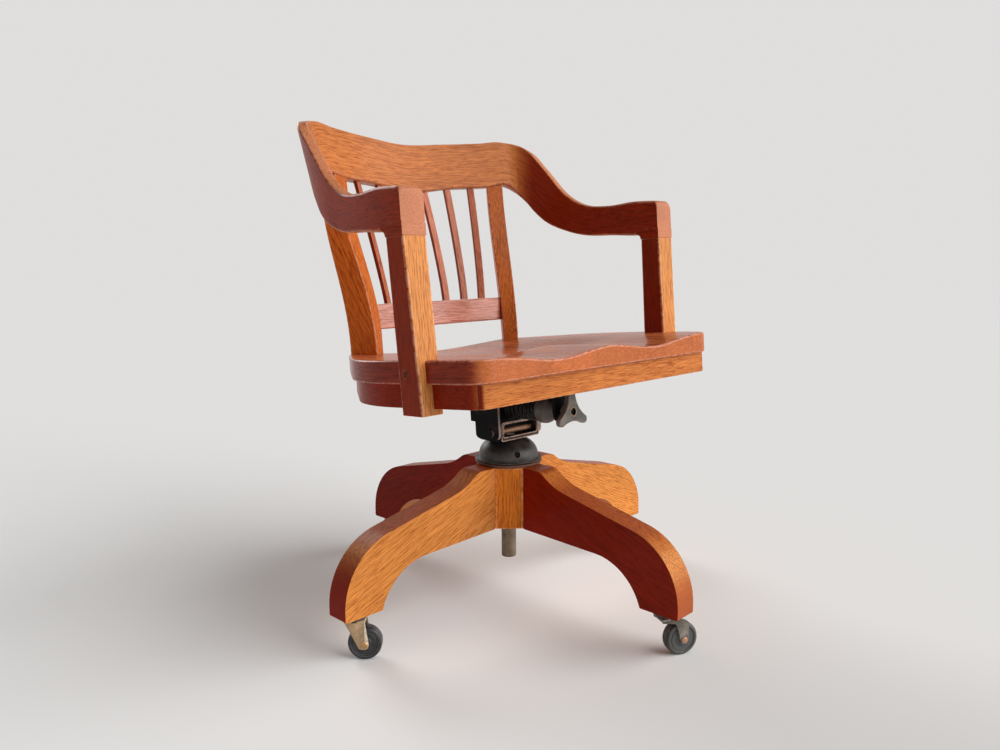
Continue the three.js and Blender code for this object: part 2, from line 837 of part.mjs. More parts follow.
function makeYoke() {
  const walls = [-yokeWallHalf - yokeWallThickness, yokeWallHalf].map((from) => {
    return sideBoard(yokeWallOutline(), from, from + yokeWallThickness);
  });
  const half = yokeWallHalf + yokeWallThickness / 2;
  const floorTop = yokeFloorHeight + yokeFloorThickness;
  const inset = yokeRounding;
  const floor = box([-half, yokeFront + inset, yokeFloorHeight], [half, yokeRear - inset, floorTop]);
  const neck = rod(yokeNeckRadius, yokeNeckHeight, floorTop, turnedSides);
  const pinHole = alongX(rod(pinRadius + seam, -earSpread, earSpread)).translate(0, pinY, pinHeight);
  const holeTop = spindleSeatHeight + overrun;
  const spindleHole = rod(spindleRadius + seam, yokeNeckHeight - overrun, holeTop, turnedSides);
  const yoke = join(floor, ...walls, neck, uprightGeometry());
  place("tilt_yoke", cut(yoke, pinHole, spindleHole), castIron);
}

function makeWindowPlate() {
  const top = windowPlateBottom + windowPlateHeight;
  const outline = rectangle(-windowPlateHalf, windowPlateBottom, windowPlateHalf, top, windowRounding);
  const half = windowPlateHalf - windowSide;
  const opening = rectangle(-half, windowPlateBottom + windowSill, half, top - windowHead, windowRounding);
  const back = yokeFront - seam;
  place("window_plate", frontBoard(outline, back - windowPlateThickness, back, 0, [opening]), wornSteel);
}

function makePin() {
  const half = earSpread + seam;
  const profile = [
    [0, -half - pinHeadThickness],
    [pinHeadRadius, -half - pinHeadThickness],
    [pinHeadRadius, -half],
    [pinRadius, -half],
    [pinRadius, half],
    [pinHeadRadius, half],
    [pinHeadRadius, half + pinHeadThickness],
    [0, half + pinHeadThickness],
  ];
  place("pivot_pin", alongX(turned(profile, smallSides)).translate(0, pinY, pinHeight), wornSteel);
}

// Seat iron, in the seat's frame: two ears on the pin, a top plate with lugs and the front wall
function earOutline() {
  return outlinePoints([
    [ironFront, -ironRailDrop, earCornerRadius],
    [earFront, -ironRailDrop, earCornerRadius],
    [earFront, -earBottomDrop, earCornerRadius],
    [earStepRear, -earBottomDrop, earCornerRadius],
    [earStepRear, -earStepDrop, 0],
    [earRear, -earStepDrop, 0],
    [earRear, -ironRailDrop, earCornerRadius],
    [ironRear, -ironRailDrop, earCornerRadius],
    [ironRear, -seam, 0],
    [ironFront, -seam, 0],
  ]);
}

function screwPlaces() {
  const rows = [ironFront + ironLugWidth / 2, ironRear - ironLugWidth / 2];
  return rows.flatMap((y) => [-screwSpread, screwSpread].map((x) => [x, y]));
}

function makeSeatIron() {
  const hole = circle(pinSeatY, pinSeatZ, pinRadius + runningGap);
  const ears = [-earSpread, earSpread - earThickness].map((from) => {
    return sideBoard(earOutline(), from, from + earThickness, 0, [hole]);
  });
  const plate = box([-earSpread, ironFront, -seam - ironTopThickness], [earSpread, ironRear, -seam]);
  const lugs = [ironFront, ironRear - ironLugWidth].map((from) => {
    return box([-ironLugHalf, from, -seam - ironTopThickness], [ironLugHalf, from + ironLugWidth, -seam]);
  });
  const wallOutline = outlinePoints([
    [-wallHalfWidth, -boltDrop - wallHalfWidth, wallRounding],
    [wallHalfWidth, -boltDrop - wallHalfWidth, wallRounding],
    [wallHalfWidth, -seam, 0],
    [-wallHalfWidth, -seam, 0],
  ]);
  const boltHole = circle(0, -boltDrop, boltRadius + runningGap);
  const wall = frontBoard(wallOutline, wallY, wallY + wallThickness, 0, [boltHole]);
  const screwHoles = screwPlaces().map(([x, y]) => {
    return rod(screwRadius + seam, -ironTopThickness - overrun, overrun).translate(x, y, 0);
  });
  place("seat_iron", cut(join(plate, ...lugs, ...ears, wall), ...screwHoles), castIron, seat);
}

function makeScrews() {
  const top = -seam - ironTopThickness - seam;
  const profile = [
    [0, top - screwHeadThickness],
    [screwHeadRadius * screwHeadShare, top - screwHeadThickness],
    [screwHeadRadius, top],
    [screwRadius, top],
    [screwRadius, screwGrip * screwPointShare],
    [0, screwGrip],
  ];
  const slotTop = top - screwHeadThickness + screwSlotDepth;
  const reach = screwHeadRadius + overrun;
  const slotBottom = top - screwHeadThickness - overrun;
  const slot = box([-reach, -screwSlotWidth / 2, slotBottom], [reach, screwSlotWidth / 2, slotTop]);
  screwPlaces().forEach(([x, y], i) => {
    const screw = cut(turned(profile, smallSides), slot).translate(x, y, 0);
    place("seat_screw_" + (i + 1), screw, wornSteel, seat);
  });
}

// Tension gear, all on the bolt's axis along Y at the bolt's drop
function onBolt(geometry) {
  return alongY(geometry).translate(0, 0, -boltDrop);
}

function knobOutline() {
  const lobes = 3;
  const polar = (radius, angle) => new THREE.Vector2(radius * cos(angle), radius * sin(angle));
  const centre = knobReach - knobLobeRadius;
  const onLobe = (along, angle) => polar(centre, along).add(polar(knobLobeRadius, along + angle));
  return Array.from({ length: lobes }, (_, i) => {
    const along = Math.PI / 2 + (i * 2 * Math.PI) / lobes;
    const next = along + (2 * Math.PI) / lobes;
    const lobe = Array.from({ length: lobeSteps + 1 }, (__, k) => {
      return onLobe(along, lerp(-knobLobeTurn, knobLobeTurn, k / lobeSteps));
    });
    const from = lobe.at(-1);
    const to = onLobe(next, -knobLobeTurn);
    const waist = polar(knobWaistReach, along + Math.PI / lobes);
    const pull = waist.multiplyScalar(2).sub(from.clone().add(to).divideScalar(2));
    const side = new THREE.QuadraticBezierCurve(from, pull, to);
    return [...lobe, ...side.getPoints(waistSteps).slice(1, -1)];
  }).flat();
}

function makeKnob() {
  const face = knobFaceY;
  const back = face + knobThickness;
  const body = frontBoard(knobOutline(), face, back, knobEdge).translate(0, 0, -boltDrop);
  const hub = onBolt(rod(knobHubRadius, back - knobEdge, back + knobHubLength));
  const hole = onBolt(rod(boltRadius + seam, face - overrun, back + knobHubLength + overrun));
  const counterbore = onBolt(rod(knobHoleRadius + seam, face - overrun, face + knobRecess));
  place("tension_knob", cut(join(body, hub), hole, counterbore), castIron, seat);
  const collarFront = cupNeckY - seam - boltCollarLength;
  const bolt = [
    [0, face + knobRecess],
    [boltRadius, face + knobRecess],
    [boltRadius, collarFront],
    [boltCollarRadius, collarFront],
    [boltCollarRadius, cupNeckY - seam],
    [boltRadius, cupNeckY - seam],
    [boltRadius, boltRearY],
    [0, boltRearY],
  ];
  place("tension_bolt", onBolt(turned(bolt, smallSides)), wornSteel, seat);
}

function makeCup() {
  const hole = boltRadius + runningGap;
  const bell = Array.from({ length: bellSteps + 1 }, (_, i) => {
    const share = i / bellSteps;
    const radius = lerp(cupNeckRadius, cupRimRadius, smoothstep(share, 0, cupBellShare));
    return [radius, lerp(cupNeckY, cupRimY - cupWall, share)];
  });
  const profile = [
    [hole, cupNeckY],
    ...bell,
    [cupRimRadius, cupRimY],
    [cupRimRadius - cupWall, cupRimY],
    [cupRimRadius - cupWall, cupFloorY],
    [hole, cupFloorY],
  ];
  place("spring_cup", onBolt(turned(profile, wheelSides)), castIron, seat);
}

// Tilt spring: one unbroken wire with closed ends, each end running straight for one wire diameter
function springPoints(from, to) {
  const coil = springRadius - springWire;
  const steps = springTurns * springStepsPerTurn;
  const closedRise = 2 * springWire + springClosedGap;
  const openTurns = springTurns - 2 * springClosedTurns;
  const openRise = (to - from - 2 * springWire - 2 * springClosedTurns * closedRise) / openTurns;
  const around = (step, y) => {
    const angle = (step / springStepsPerTurn) * 2 * Math.PI;
    return new THREE.Vector3(coil * cos(angle), y, coil * sin(angle));
  };
  const points = [];
  let y = from + springWire;
  for (let i = 0; i <= steps; i++) {
    points.push(around(i, y));
    const turn = i / springStepsPerTurn;
    const closed = turn < springClosedTurns || turn >= springTurns - springClosedTurns;
    y += (closed ? closedRise : openRise) / springStepsPerTurn;
  }
  const first = points[0];
  const last = points.at(-1);
  const lead = around(-1, first.y).sub(first).setLength(2 * springWire);
  const tail = around(steps + 1, last.y).sub(last).setLength(2 * springWire);
  return [lead.add(first), ...points, tail.add(last)];
}

function tube(path, radius, sides) {
  const rings = path.map((point, i) => {
    const along = (path[i + 1] ?? point).clone().sub(path[i - 1] ?? point).normalize();
    const out = new THREE.Vector3(point.x, 0, point.z);
    out.addScaledVector(along, -out.dot(along)).normalize();
    const across = new THREE.Vector3().crossVectors(along, out);
    return Array.from({ length: sides }, (_, k) => {
      const angle = (k / sides) * 2 * Math.PI;
      const rim = out.clone().multiplyScalar(cos(angle)).addScaledVector(across, sin(angle));
      return point.clone().addScaledVector(rim, radius);
    });
  });
  return { rings, geometry: loft(rings) };
}

function leastGap(rings, apart) {
  let least = Infinity;
  rings.forEach((ring, i) => {
    for (const other of rings.slice(i + apart)) {
      for (const a of ring) for (const b of other) least = Math.min(least, a.distanceTo(b));
    }
  });
  return least;
}

function makeSpring() {
  const path = springPoints(cupFloorY + seam, uprightSeatY - seam);
  const { rings, geometry } = tube(path, springWire, springSides);
  const gap = leastGap(rings, springStepsPerTurn / 2);
  console.log("tension_spring: least gap to itself", gap.toFixed(2), "mm");
  place("tension_spring", geometry.translate(0, 0, -boltDrop), castIron, seat);
}

// Seat board
function seatCorners(inset = 0) {
  const right = [
    [seatFrontCornerX, -seatFront, seatFrontRadius],
    [seatWaistX, -seatWaistY, seatWaistRadius],
    [seatRearCornerX, seatRearCornerY, seatRearRadius],
  ];
  const left = right.map(([x, y, radius]) => [-x, y, radius]).reverse();
  return insetCorners([...right, [0, seatRearY, seatRearBulge], ...left], inset);
}

// Corners of an outline that runs counter-clockwise, with each edge moved inwards
function insetCorners(corners, inset) {
  const edges = corners.map(([x, y], i) => {
    const [nextX, nextY] = corners[(i + 1) % corners.length];
    const along = new THREE.Vector2(nextX - x, nextY - y).normalize();
    return { along, from: new THREE.Vector2(x - along.y * inset, y + along.x * inset) };
  });
  return corners.map(([, , radius], i) => {
    const before = edges.at(i - 1);
    const after = edges[i];
    const reach = after.from.clone().sub(before.from).cross(after.along) / before.along.cross(after.along);
    const corner = before.from.clone().addScaledVector(before.along, reach);
    return [corner.x, corner.y, Math.max(radius - inset, 0)];
  });
}

// The same outline with its long straight runs divided
function divided(points) {
  return points.flatMap((point, i) => {
    const next = points[(i + 1) % points.length];
    const parts = Math.ceil(point.distanceTo(next) / outlineStep);
    return Array.from({ length: parts }, (_, k) => point.clone().lerp(next, k / parts));
  });
}

function hill(distance, width) {
  return Math.exp(-((distance / width) ** 2));
}

function seatTop(x, y) {
  const thigh = thighDepth * hill(Math.abs(x) - thighSpacing, thighWidth);
  const dish = (dishDepth - dishRise * smoothstep(y, dishRiseStart, seatRearY)) * hill(x, dishWidth);
  const front = 1 - smoothstep(y, thighStart, thighEnd);
  const rear = smoothstep(y, dishStart, dishFull);
  return seatThickness - thigh * front - dish * rear;
}

function makeSeatBoard() {
  const outline = divided(outlinePoints(seatCorners()));
  const inward = (point, distance) => point.clone().setLength(point.length() - distance);
  const ring = (move, height) => outline.map((point) => {
    const p = move(point);
    return new THREE.Vector3(p.x, p.y, height(p));
  });
  const softened = 1 - Math.SQRT1_2;
  const rings = [
    ring((p) => inward(p, seatUnderEdge), () => 0),
    ring((p) => p, () => seatUnderEdge),
    ring((p) => p, (p) => seatTop(p.x, p.y) - seatEdge),
    ring((p) => inward(p, seatEdge * softened), (p) => seatTop(p.x, p.y) - seatEdge * softened),
    ring((p) => inward(p, seatEdge), (p) => seatTop(p.x, p.y)),
    ...topRingShares.map((share) => ring((p) => p.clone().multiplyScalar(share), (p) => seatTop(p.x, p.y))),
  ];
  const holes = screwPlaces().map(([x, y]) => {
    return rod(screwRadius + seam, -overrun, screwGrip + seam).translate(x, y, 0);
  });
  const notches = [1, -1].map((side) => armPostGeometry(side, seam));
  place("seat_board", cut(loft(rings), ...holes, ...notches), oakSeat, seat);
}

// Apron rails: they follow the seat's outline, a little inside it
function makeApron() {
  const top = -seam;
  const frontInner = -apronFrontY + apronFrontThickness;
  const frontOutline = outlinePoints([
    [-apronFrontHalf, -apronFrontY, apronFrontRounding],
    [apronFrontHalf, -apronFrontY, apronFrontRounding],
    [apronFrontHalf, frontInner, 0],
    [-apronFrontHalf, frontInner, 0],
  ]);
  const frontRail = board(frontOutline, apronDepth - seam);
  place("apron_front", frontRail.translate(0, 0, -apronDepth), oakRail, seat);
  const outer = outlinePoints(seatCorners(apronInset));
  const inner = outlinePoints(seatCorners(apronInset + apronSideThickness));
  const band = board(outer, apronDepth - seam, 0, [inner]).translate(0, 0, -apronDepth);
  const far = seatWaistX;
  const bottom = -apronDepth - overrun;
  const frontHalf = apronFrontHalf + seam;
  const frontCut = box([-frontHalf, -far, bottom], [frontHalf, frontInner + seam, overrun]);
  const behind = box([-far, apronBackCut, bottom], [far, far, top + overrun]);
  for (const [name, side] of [["left", 1], ["right", -1]]) {
    const [from, to] = [side * apronSideFrom, side * far].sort((a, b) => a - b);
    const half = box([from, -far, bottom], [to, far, top + overrun]);
    const rail = cut(common(band, half), frontCut, behind, armPostGeometry(side, seam));
    place("apron_" + name, rail, oakRail, seat);
  }
  const rear = box([-far, apronBackCut + seam, bottom], [far, far, top + overrun]);
  place("apron_back", common(band, rear), oakRail, seat);
}

// The bow's mid-line in plan, at a distance from the middle of the crest
function bowPlan(distance) {
  const runs = [
    [crestRadius, crestTurn],
    [cornerRadius, cornerTurn],
    [armRun / armTurn, armTurn],
  ];
  let x = 0;
  let y = bowRearY;
  let heading = 0;
  let left = distance;
  runs.forEach(([radius, turn], i) => {
    const last = i === runs.length - 1;
    const angle = last ? left / radius : Math.min(left / radius, turn);
    x += radius * (sin(heading + angle) - sin(heading));
    y -= radius * (cos(heading) - cos(heading + angle));
    heading += angle;
    left -= angle * radius;
  });
  return { x, y, heading };
}

// A smooth value at a share of the bow's half length, from a table at the station shares
function alongBow(table, share) {
  const stations = bowStationShares;
  const last = stations.length - 1;
  const i = Math.min(stations.findLastIndex((s) => s <= share), last - 1);
  const gap = stations[i + 1] - stations[i];
  const slope = (k) => {
    if (k === 0) return 0;
    const b = Math.min(k + 1, last);
    return (gap * (table[b] - table[k - 1])) / (stations[b] - stations[k - 1]);
  };
  const t = (share - stations[i]) / gap;
  const rise = table[i + 1] - table[i];
  const bend = 3 * rise - 2 * slope(i) - slope(i + 1);
  const twist = slope(i) + slope(i + 1) - 2 * rise;
  return table[i] + t * (slope(i) + t * (bend + t * twist));
}

function bowSection(share) {
  const lean = bowLean * (1 - smoothstep(share, ...bowLeanFadeShares));
  const swell = smoothstep(share, ...armSwellShares);
  const thin = smoothstep(share, ...crestThinShares);
  const topThickness = lerp(crestTopThickness, armThickness, swell);
  const bottomThickness = lerp(lerp(crestBottomThickness, crestTopThickness, thin), armThickness, swell);
  const inner = -topThickness / 2;
  return {
    top: bowPeak * alongBow(bowTopShares, share),
    bottom: bowPeak * alongBow(bowBottomShares, share),
    innerTop: inner + lean / 2,
    outerTop: inner + topThickness + lean / 2,
    innerBottom: inner - lean / 2,
    outerBottom: inner + bottomThickness - lean / 2,
    rounding: lerp(crestRounding, armRounding, swell),
  };
}

// One ring of the bow, at a signed distance from its middle, with its top lowered
function bowRing(distance, lowered = 0) {
  const share = Math.min(Math.abs(distance) / bowHalf, 1);
  const s = bowSection(share);
  const { x, y, heading } = bowPlan(Math.abs(distance));
  const side = Math.sign(distance) || 1;
  const points = outlinePoints([
    [s.innerBottom, s.bottom, s.rounding],
    [s.outerBottom, s.bottom, s.rounding],
    [s.outerTop, s.top - lowered, s.rounding],
    [s.innerTop, s.top - lowered, s.rounding],
  ], edgeSteps);
  return points.map((p) => new THREE.Vector3(side * (x + p.x * sin(heading)), y + p.x * cos(heading), p.y));
}

// How far along the bow the crest reaches a place across
function crestDistance(x) {
  return crestRadius * Math.asin(x / crestRadius);
}

// The height of the crest's underside over a place in plan
function crestUnderside(x, y) {
  const distance = crestRadius * Math.atan2(Math.abs(x), y - bowRearY + crestRadius);
  return bowSection(distance / bowHalf).bottom;
}

function makeCrest() {
  const end = crestJointShare * bowHalf - seam / 2;
  const rings = Array.from({ length: crestSections }, (_, i) => {
    return bowRing(lerp(-end, end, i / (crestSections - 1)));
  });
  place("crest_rail", loft(rings), oakBow, seat);
}

function makeArms() {
  const start = crestJointShare * bowHalf + seam / 2;
  const shoulder = bowHalf - armNoseRadius;
  const rings = Array.from({ length: armSections }, (_, i) => {
    return bowRing(lerp(start, shoulder, i / (armSections - 1)));
  });
  for (let k = 1; k <= armNoseSteps; k++) {
    const angle = (k / armNoseSteps) * (Math.PI / 2);
    rings.push(bowRing(shoulder + armNoseRadius * sin(angle), armNoseRadius * (1 - cos(angle))));
  }
  const inner = bowPlan(bowHalf).x - armThickness / 2;
  const rear = -postSeamFront + postSeamDepth;
  const knee = outlinePoints([
    [-postSeamFront, postSeamHeight + seam, 0],
    [rear, postSeamHeight + seam, 0],
    [rear, armUnderside, armKneeRadius - seam],
    [rear + armKneeRadius, armUnderside, 0],
    [rear + armKneeRadius, armUnderside + armRounding, 0],
    [-postSeamFront, armUnderside + armRounding, 0],
  ]);
  const tongue = sideBoard(knee, inner, inner + armThickness);
  const arm = join(loft(rings), tongue);
  place("arm_left", arm, oakBow, seat);
  place("arm_right", mirrored(arm), oakBow, seat);
}

// Arm post: a tapered bar that is let into the edge of the seat
function armPostGeometry(side, grow = 0) {
  const seamInner = bowPlan(bowHalf).x - armThickness / 2;
  const bottom = { z: -postBottomDrop - grow, front: -postBottomFront, depth: postBottomDepth };
  const top = { z: postSeamHeight, front: -postSeamFront, depth: postSeamDepth };
  const levels = [
    { ...bottom, inner: postBottomOuter - postBottomWidth, outer: postBottomOuter },
    { ...top, inner: seamInner, outer: seamInner + armThickness },
  ];
  const rings = levels.map(({ z, inner, outer, front, depth }) => {
    const corners = [
      [inner - grow, front - grow, postRounding + grow],
      [outer + grow, front - grow, postRounding + grow],
      [outer + grow, front + depth + grow, postRounding + grow],
      [inner - grow, front + depth + grow, postRounding + grow],
    ];
    return outlinePoints(corners, edgeSteps).map((p) => new THREE.Vector3(side * p.x, p.y, z));
  });
  return loft(rings);
}

function makeArmPosts() {
  const height = postSeamHeight + postBottomDrop;
  const share = (plugHeight + postBottomDrop) / height;
  const seamOuter = bowPlan(bowHalf).x + armThickness / 2;
  const face = lerp(postBottomOuter, seamOuter, share) + plugProud;
  for (const [name, side] of [["left", 1], ["right", -1]]) {
    const hole = alongX(rod(plugRadius + seam, face - plugLength - seam, face + overrun));
    hole.translate(0, plugY, plugHeight);
    const plug = alongX(rod(plugRadius, face - plugLength, face));
    plug.translate(0, plugY, plugHeight);
    const post = cut(armPostGeometry(1), hole);
    place("arm_post_" + name, side > 0 ? post : mirrored(post), oakRail, seat);
    place("post_plug_" + name, side > 0 ? plug : mirrored(plug), oakSeat, seat);
  }
}

// Back post: a sawn board set at a slant, bent back and thinned towards its head
function backPostGeometry(grow = 0) {
  const foot = backPostFootHeight;
  const head = crestUnderside(backPostHeadX, backPostHeadY) - headGap;
  const rings = Array.from({ length: backPostLevels }, (_, i) => {
    const share = i / (backPostLevels - 1);
    const bend = smoothstep(share ** backPostBendShare, 0, 1);
    const turn = lerp(backPostFootTurn, backPostHeadTurn, share);
    const width = lerp(backPostFootWidth, backPostHeadWidth, share);
    const depth = lerp(backPostFootDepth, backPostHeadDepth, share ** 2);
    const outerX = lerp(backPostFootX, backPostHeadX, bend);
    const outerY = lerp(backPostFootY, backPostHeadY, bend);
    const across = [-width * cos(turn), width * sin(turn)];
    const inward = [depth * sin(backPostSideTurn), depth * cos(backPostSideTurn)];
    const corners = insetCorners([
      [outerX, outerY, backPostRounding],
      [outerX + inward[0], outerY + inward[1], backPostRounding],
      [outerX + inward[0] + across[0], outerY + inward[1] + across[1], backPostRounding],
      [outerX + across[0], outerY + across[1], backPostRounding],
    ], -grow);
    const z = lerp(foot, head, share);
    return outlinePoints(corners, edgeSteps).map((p) => {
      if (i === 0) return new THREE.Vector3(p.x, p.y, seatTop(p.x, p.y) + seam);
      if (i === backPostLevels - 1) return new THREE.Vector3(p.x, p.y, crestUnderside(p.x, p.y) - headGap);
      return new THREE.Vector3(p.x, p.y, z);
    });
  });
  return loft(rings);
}

function makeBack() {
  const post = backPostGeometry();
  place("back_post_left", post, oakRail, seat);
  place("back_post_right", mirrored(post), oakRail, seat);
  const outline = rectangle(railFront, railBottom, railFront + railThickness, railTop, railRounding);
  const bar = sideBoard(outline, -railHalf, railHalf);
  const grown = backPostGeometry(seam);
  place("lower_rail", cut(bar, grown, mirrored(grown)), oakRail, seat);
}

function slatGeometry(footX, headX, turn) {
  const headDistance = crestDistance(headX);
  const plan = bowPlan(headDistance);
  const headY = plan.y + (bowSection(headDistance / bowHalf).innerBottom + slatHeadInset) * cos(plan.heading);
  const head = crestUnderside(headX, headY) - headGap;
  const half = slatWidth / 2;
  const thick = slatThickness / 2;
  const corners = [
    [-half, -thick, slatRounding],
    [half, -thick, slatRounding],
    [half, thick, slatRounding],
    [-half, thick, slatRounding],
  ];
  const section = outlinePoints(corners, 1);
  const rings = Array.from({ length: slatLevels }, (_, i) => {
    const share = i / (slatLevels - 1);
    const x = lerp(footX, headX, share);
    const y = lerp(slatFootY, headY, share ** slatBendShare);
    return section.map((p) => {
      const px = x + p.x * cos(turn) + p.y * sin(turn);
      const py = y - p.x * sin(turn) + p.y * cos(turn);
      const z = share === 1 ? crestUnderside(px, py) - headGap : lerp(railTop + seam, head, share);
      return new THREE.Vector3(px, py, z);
    });
  });
  return loft(rings);
}

function makeSlats() {
  slatTurns.forEach((turn, i) => {
    const slat = slatGeometry(slatFootReach * slatFootShares[i], slatHeadReach * slatHeadShares[i], turn);
    place("slat_left_" + (i + 1), slat, oakRail, seat);
    place("slat_right_" + (i + 1), mirrored(slat), oakRail, seat);
  });
}

makeBase();
makeCasters();
makeCap();
makeSpindle();
makeYoke();
makeWindowPlate();
makePin();
makeSeatIron();
makeScrews();
makeKnob();
makeCup();
makeSpring();
makeSeatBoard();
makeApron();
makeCrest();
makeArms();
makeArmPosts();
makeBack();
makeSlats();

export default chair;
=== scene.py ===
import math
import random
from math import cos, exp, pi, radians, sin, tan

import bmesh
import bpy
import numpy as np
from mathutils import Matrix, Vector


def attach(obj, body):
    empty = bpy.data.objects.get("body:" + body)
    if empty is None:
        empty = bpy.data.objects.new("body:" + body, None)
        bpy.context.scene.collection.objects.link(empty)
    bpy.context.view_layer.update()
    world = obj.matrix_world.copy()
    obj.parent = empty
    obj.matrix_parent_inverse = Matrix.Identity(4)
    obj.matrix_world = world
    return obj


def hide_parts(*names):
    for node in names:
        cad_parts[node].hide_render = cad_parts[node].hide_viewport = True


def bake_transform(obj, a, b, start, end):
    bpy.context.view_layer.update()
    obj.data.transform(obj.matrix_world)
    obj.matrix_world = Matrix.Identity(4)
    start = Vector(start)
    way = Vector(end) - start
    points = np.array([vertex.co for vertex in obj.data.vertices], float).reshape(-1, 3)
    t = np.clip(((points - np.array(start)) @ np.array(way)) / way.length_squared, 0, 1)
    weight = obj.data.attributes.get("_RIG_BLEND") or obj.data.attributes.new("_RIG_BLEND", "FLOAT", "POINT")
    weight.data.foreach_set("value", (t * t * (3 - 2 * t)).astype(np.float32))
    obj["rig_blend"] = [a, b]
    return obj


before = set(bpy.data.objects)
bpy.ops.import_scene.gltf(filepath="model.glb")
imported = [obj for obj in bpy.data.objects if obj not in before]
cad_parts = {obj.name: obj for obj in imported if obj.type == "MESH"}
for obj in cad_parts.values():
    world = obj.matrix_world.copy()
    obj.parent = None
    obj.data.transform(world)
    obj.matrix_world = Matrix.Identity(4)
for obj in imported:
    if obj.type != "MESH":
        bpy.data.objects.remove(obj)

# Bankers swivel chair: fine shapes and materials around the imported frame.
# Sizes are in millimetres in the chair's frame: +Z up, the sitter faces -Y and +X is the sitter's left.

MM = 0.001
X_AXIS = Vector((1, 0, 0))
Y_AXIS = Vector((0, 1, 0))
Z_AXIS = Vector((0, 0, 1))
SIDES = {"left": 1, "right": -1}
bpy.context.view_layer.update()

# Camera
CAMERA_TURN = radians(-43.37)
CAMERA_PITCH = radians(8.4)
CAMERA_ROLL = radians(-0.35)
CAMERA_DISTANCE = 1408.3
CAMERA_ASIDE = -13.7
CAMERA_HEIGHT = 597.1
CAMERA_LENS = 30.228
SENSOR_WIDTH = 36

# Light: colours are linear, and a strength of 1 is white
KEY_FROM = (0.55, -0.85, 0.6)
KEY_STRENGTH = 3.4
KEY_SPREAD = radians(64)
REAR_FROM = (0.08, 1.0, 0.5)
REAR_STRENGTH = 1.2
REAR_SPREAD = radians(30)
SKY_COLOUR = (1, 1, 1, 1)
SKY_STRENGTH = 0.15
FLOOR_COLOUR = (0.855, 0.845, 0.829, 1)
BACKDROP_COLOUR = (0.74, 0.731, 0.718, 1)
BACKDROP_REACH = (2.5, 12)
STAGE_REACH = 30000

# Fineness of the shapes
ARC_STEP = radians(5)
LEAST_TURN = 1e-4
MERGE_REACH = 0.01 * MM
ROUND_STEPS = 5
PROFILE_STEPS = 3
TURNED_SIDES = 96
SMALL_SIDES = 40
SEAM = 0.3
EASE_ANGLE = radians(32)
SHARP_ANGLE = radians(38)
EDGE_WIDTH = 2.6
EDGE_BEND = radians(11)
HEAD_GAP = 0.6
RUNNING_GAP = 0.5
OVERRUN = 2

# Wood and iron: waves are counted per metre, in wood along, across and up the grain
# Share of the oak's painted side shade that faces turned to +X, the sitter's left, take
LEFT_SIDE_SHADE_SHARE = 0.45
DEEP_SHARES = (0.52, 0.34, 0.24, 1)
SWAY = 12 * MM
SWAY_WAVES = (2.2, 9, 9)
RING_WAVES = 270
RIPPLE_RINGS = 5
RIPPLE_WAVES = (3, 45, 45)
STREAK_WAVES = (32, 620, 620)
SEAT_WAVES = (13, 120, 420)
FIBRE_WAVES = (45, 700, 700)
PORE_WAVES = (85, 900, 900)
BROAD_WAVES = (3, 14, 14)
OAK_RUB_WAVES = 130
IRON_BROAD_WAVES = 38
IRON_FINE_WAVES = 520
FORK_FINE_WAVES = 300
IRON_RUB_WAVES = 150
RUBBER_BROAD_WAVES = 90
RUBBER_FINE_WAVES = 900
GLUE_LINE = (0.3 * MM, 0.8 * MM)
BOARD_SHIFT = (0.43, 0, 0.021)
GRAIN_SHIFTS = [(0, 3), (-0.05, 0.05), (0.03, 0.09)]
OAK_RELIEF = 0.12 * MM
IRON_RELIEF = 0.4 * MM
RUBBER_RELIEF = 0.2 * MM
SEEDS = {
    "hub_post": 3, "leg": 20, "seat": 41, "apron_front": 42, "apron_side": 43, "apron_back": 45, "crest": 51,
    "arm": 52, "arm_post": 61, "plug": 65, "back_post": 71, "rail": 73, "slat": 80,
}

# Base
BASE_TURN = radians(1.86)
LEG_TOP = 240.5
LEG_THICKNESS = 40.6
LEG_TIP = 357.4
LEG_EDGE = 3
LEG_GRAIN_SHARES = (1, 0, -0.42)
POST_SIDES = 8
POST_APOTHEM = 53.7
POST_BOTTOM = 136
POST_EDGE = 2
POST_BORE = 18.5
FOOT_HEIGHT = 68.2
LEG_CORNERS = [
    (270.8, 129.7, 91),
    (291, FOOT_HEIGHT, 2),
    (LEG_TIP, FOOT_HEIGHT, 3),
    (LEG_TIP, 166.7, 103),
    (122.4, 218.4, 100),
    (89.6, LEG_TOP, 25),
]
LEG_ROOT = 135.5
LEG_TURNS = {"left": radians(180), "front": radians(270), "right": 0, "back": radians(90)}
STEM_REACH = 326
STEM_HOLE = 6.6

# Swivel column
SPINDLE_RADIUS = 12.65
SPINDLE_BOTTOM = 71
SPINDLE_TOP = 287.7
SPINDLE_ROUNDING = 1.6
PLATE_RADIUS = 57.2
PLATE_BORE = 14
PLATE_THICKNESS = 4.6
PLATE_ROUNDING = 1.6
CAP_BOTTOM = LEG_TOP + PLATE_THICKNESS + 2 * SEAM
CAP_BRIM = 56.8
CAP_BRIM_HEIGHT = 3.2
CAP_FOOT = 53.5
CAP_GAP = 1.4
CAP_SHOULDER = 51
CAP_SHOULDER_HEIGHT = 1.5
CAP_HEIGHT = 35
CAP_NECK = 24
CAP_ROUNDING = 0.6
DOME_STEPS = 24
SET_SCREW_RISE = 16
SET_SCREW_RADIUS = 2.8
SET_SCREW_TURN = radians(-26)
SET_SCREW_LENGTH = 16
SET_SCREW_SINK = 4
SET_SCREW_MOUTH = 5.2

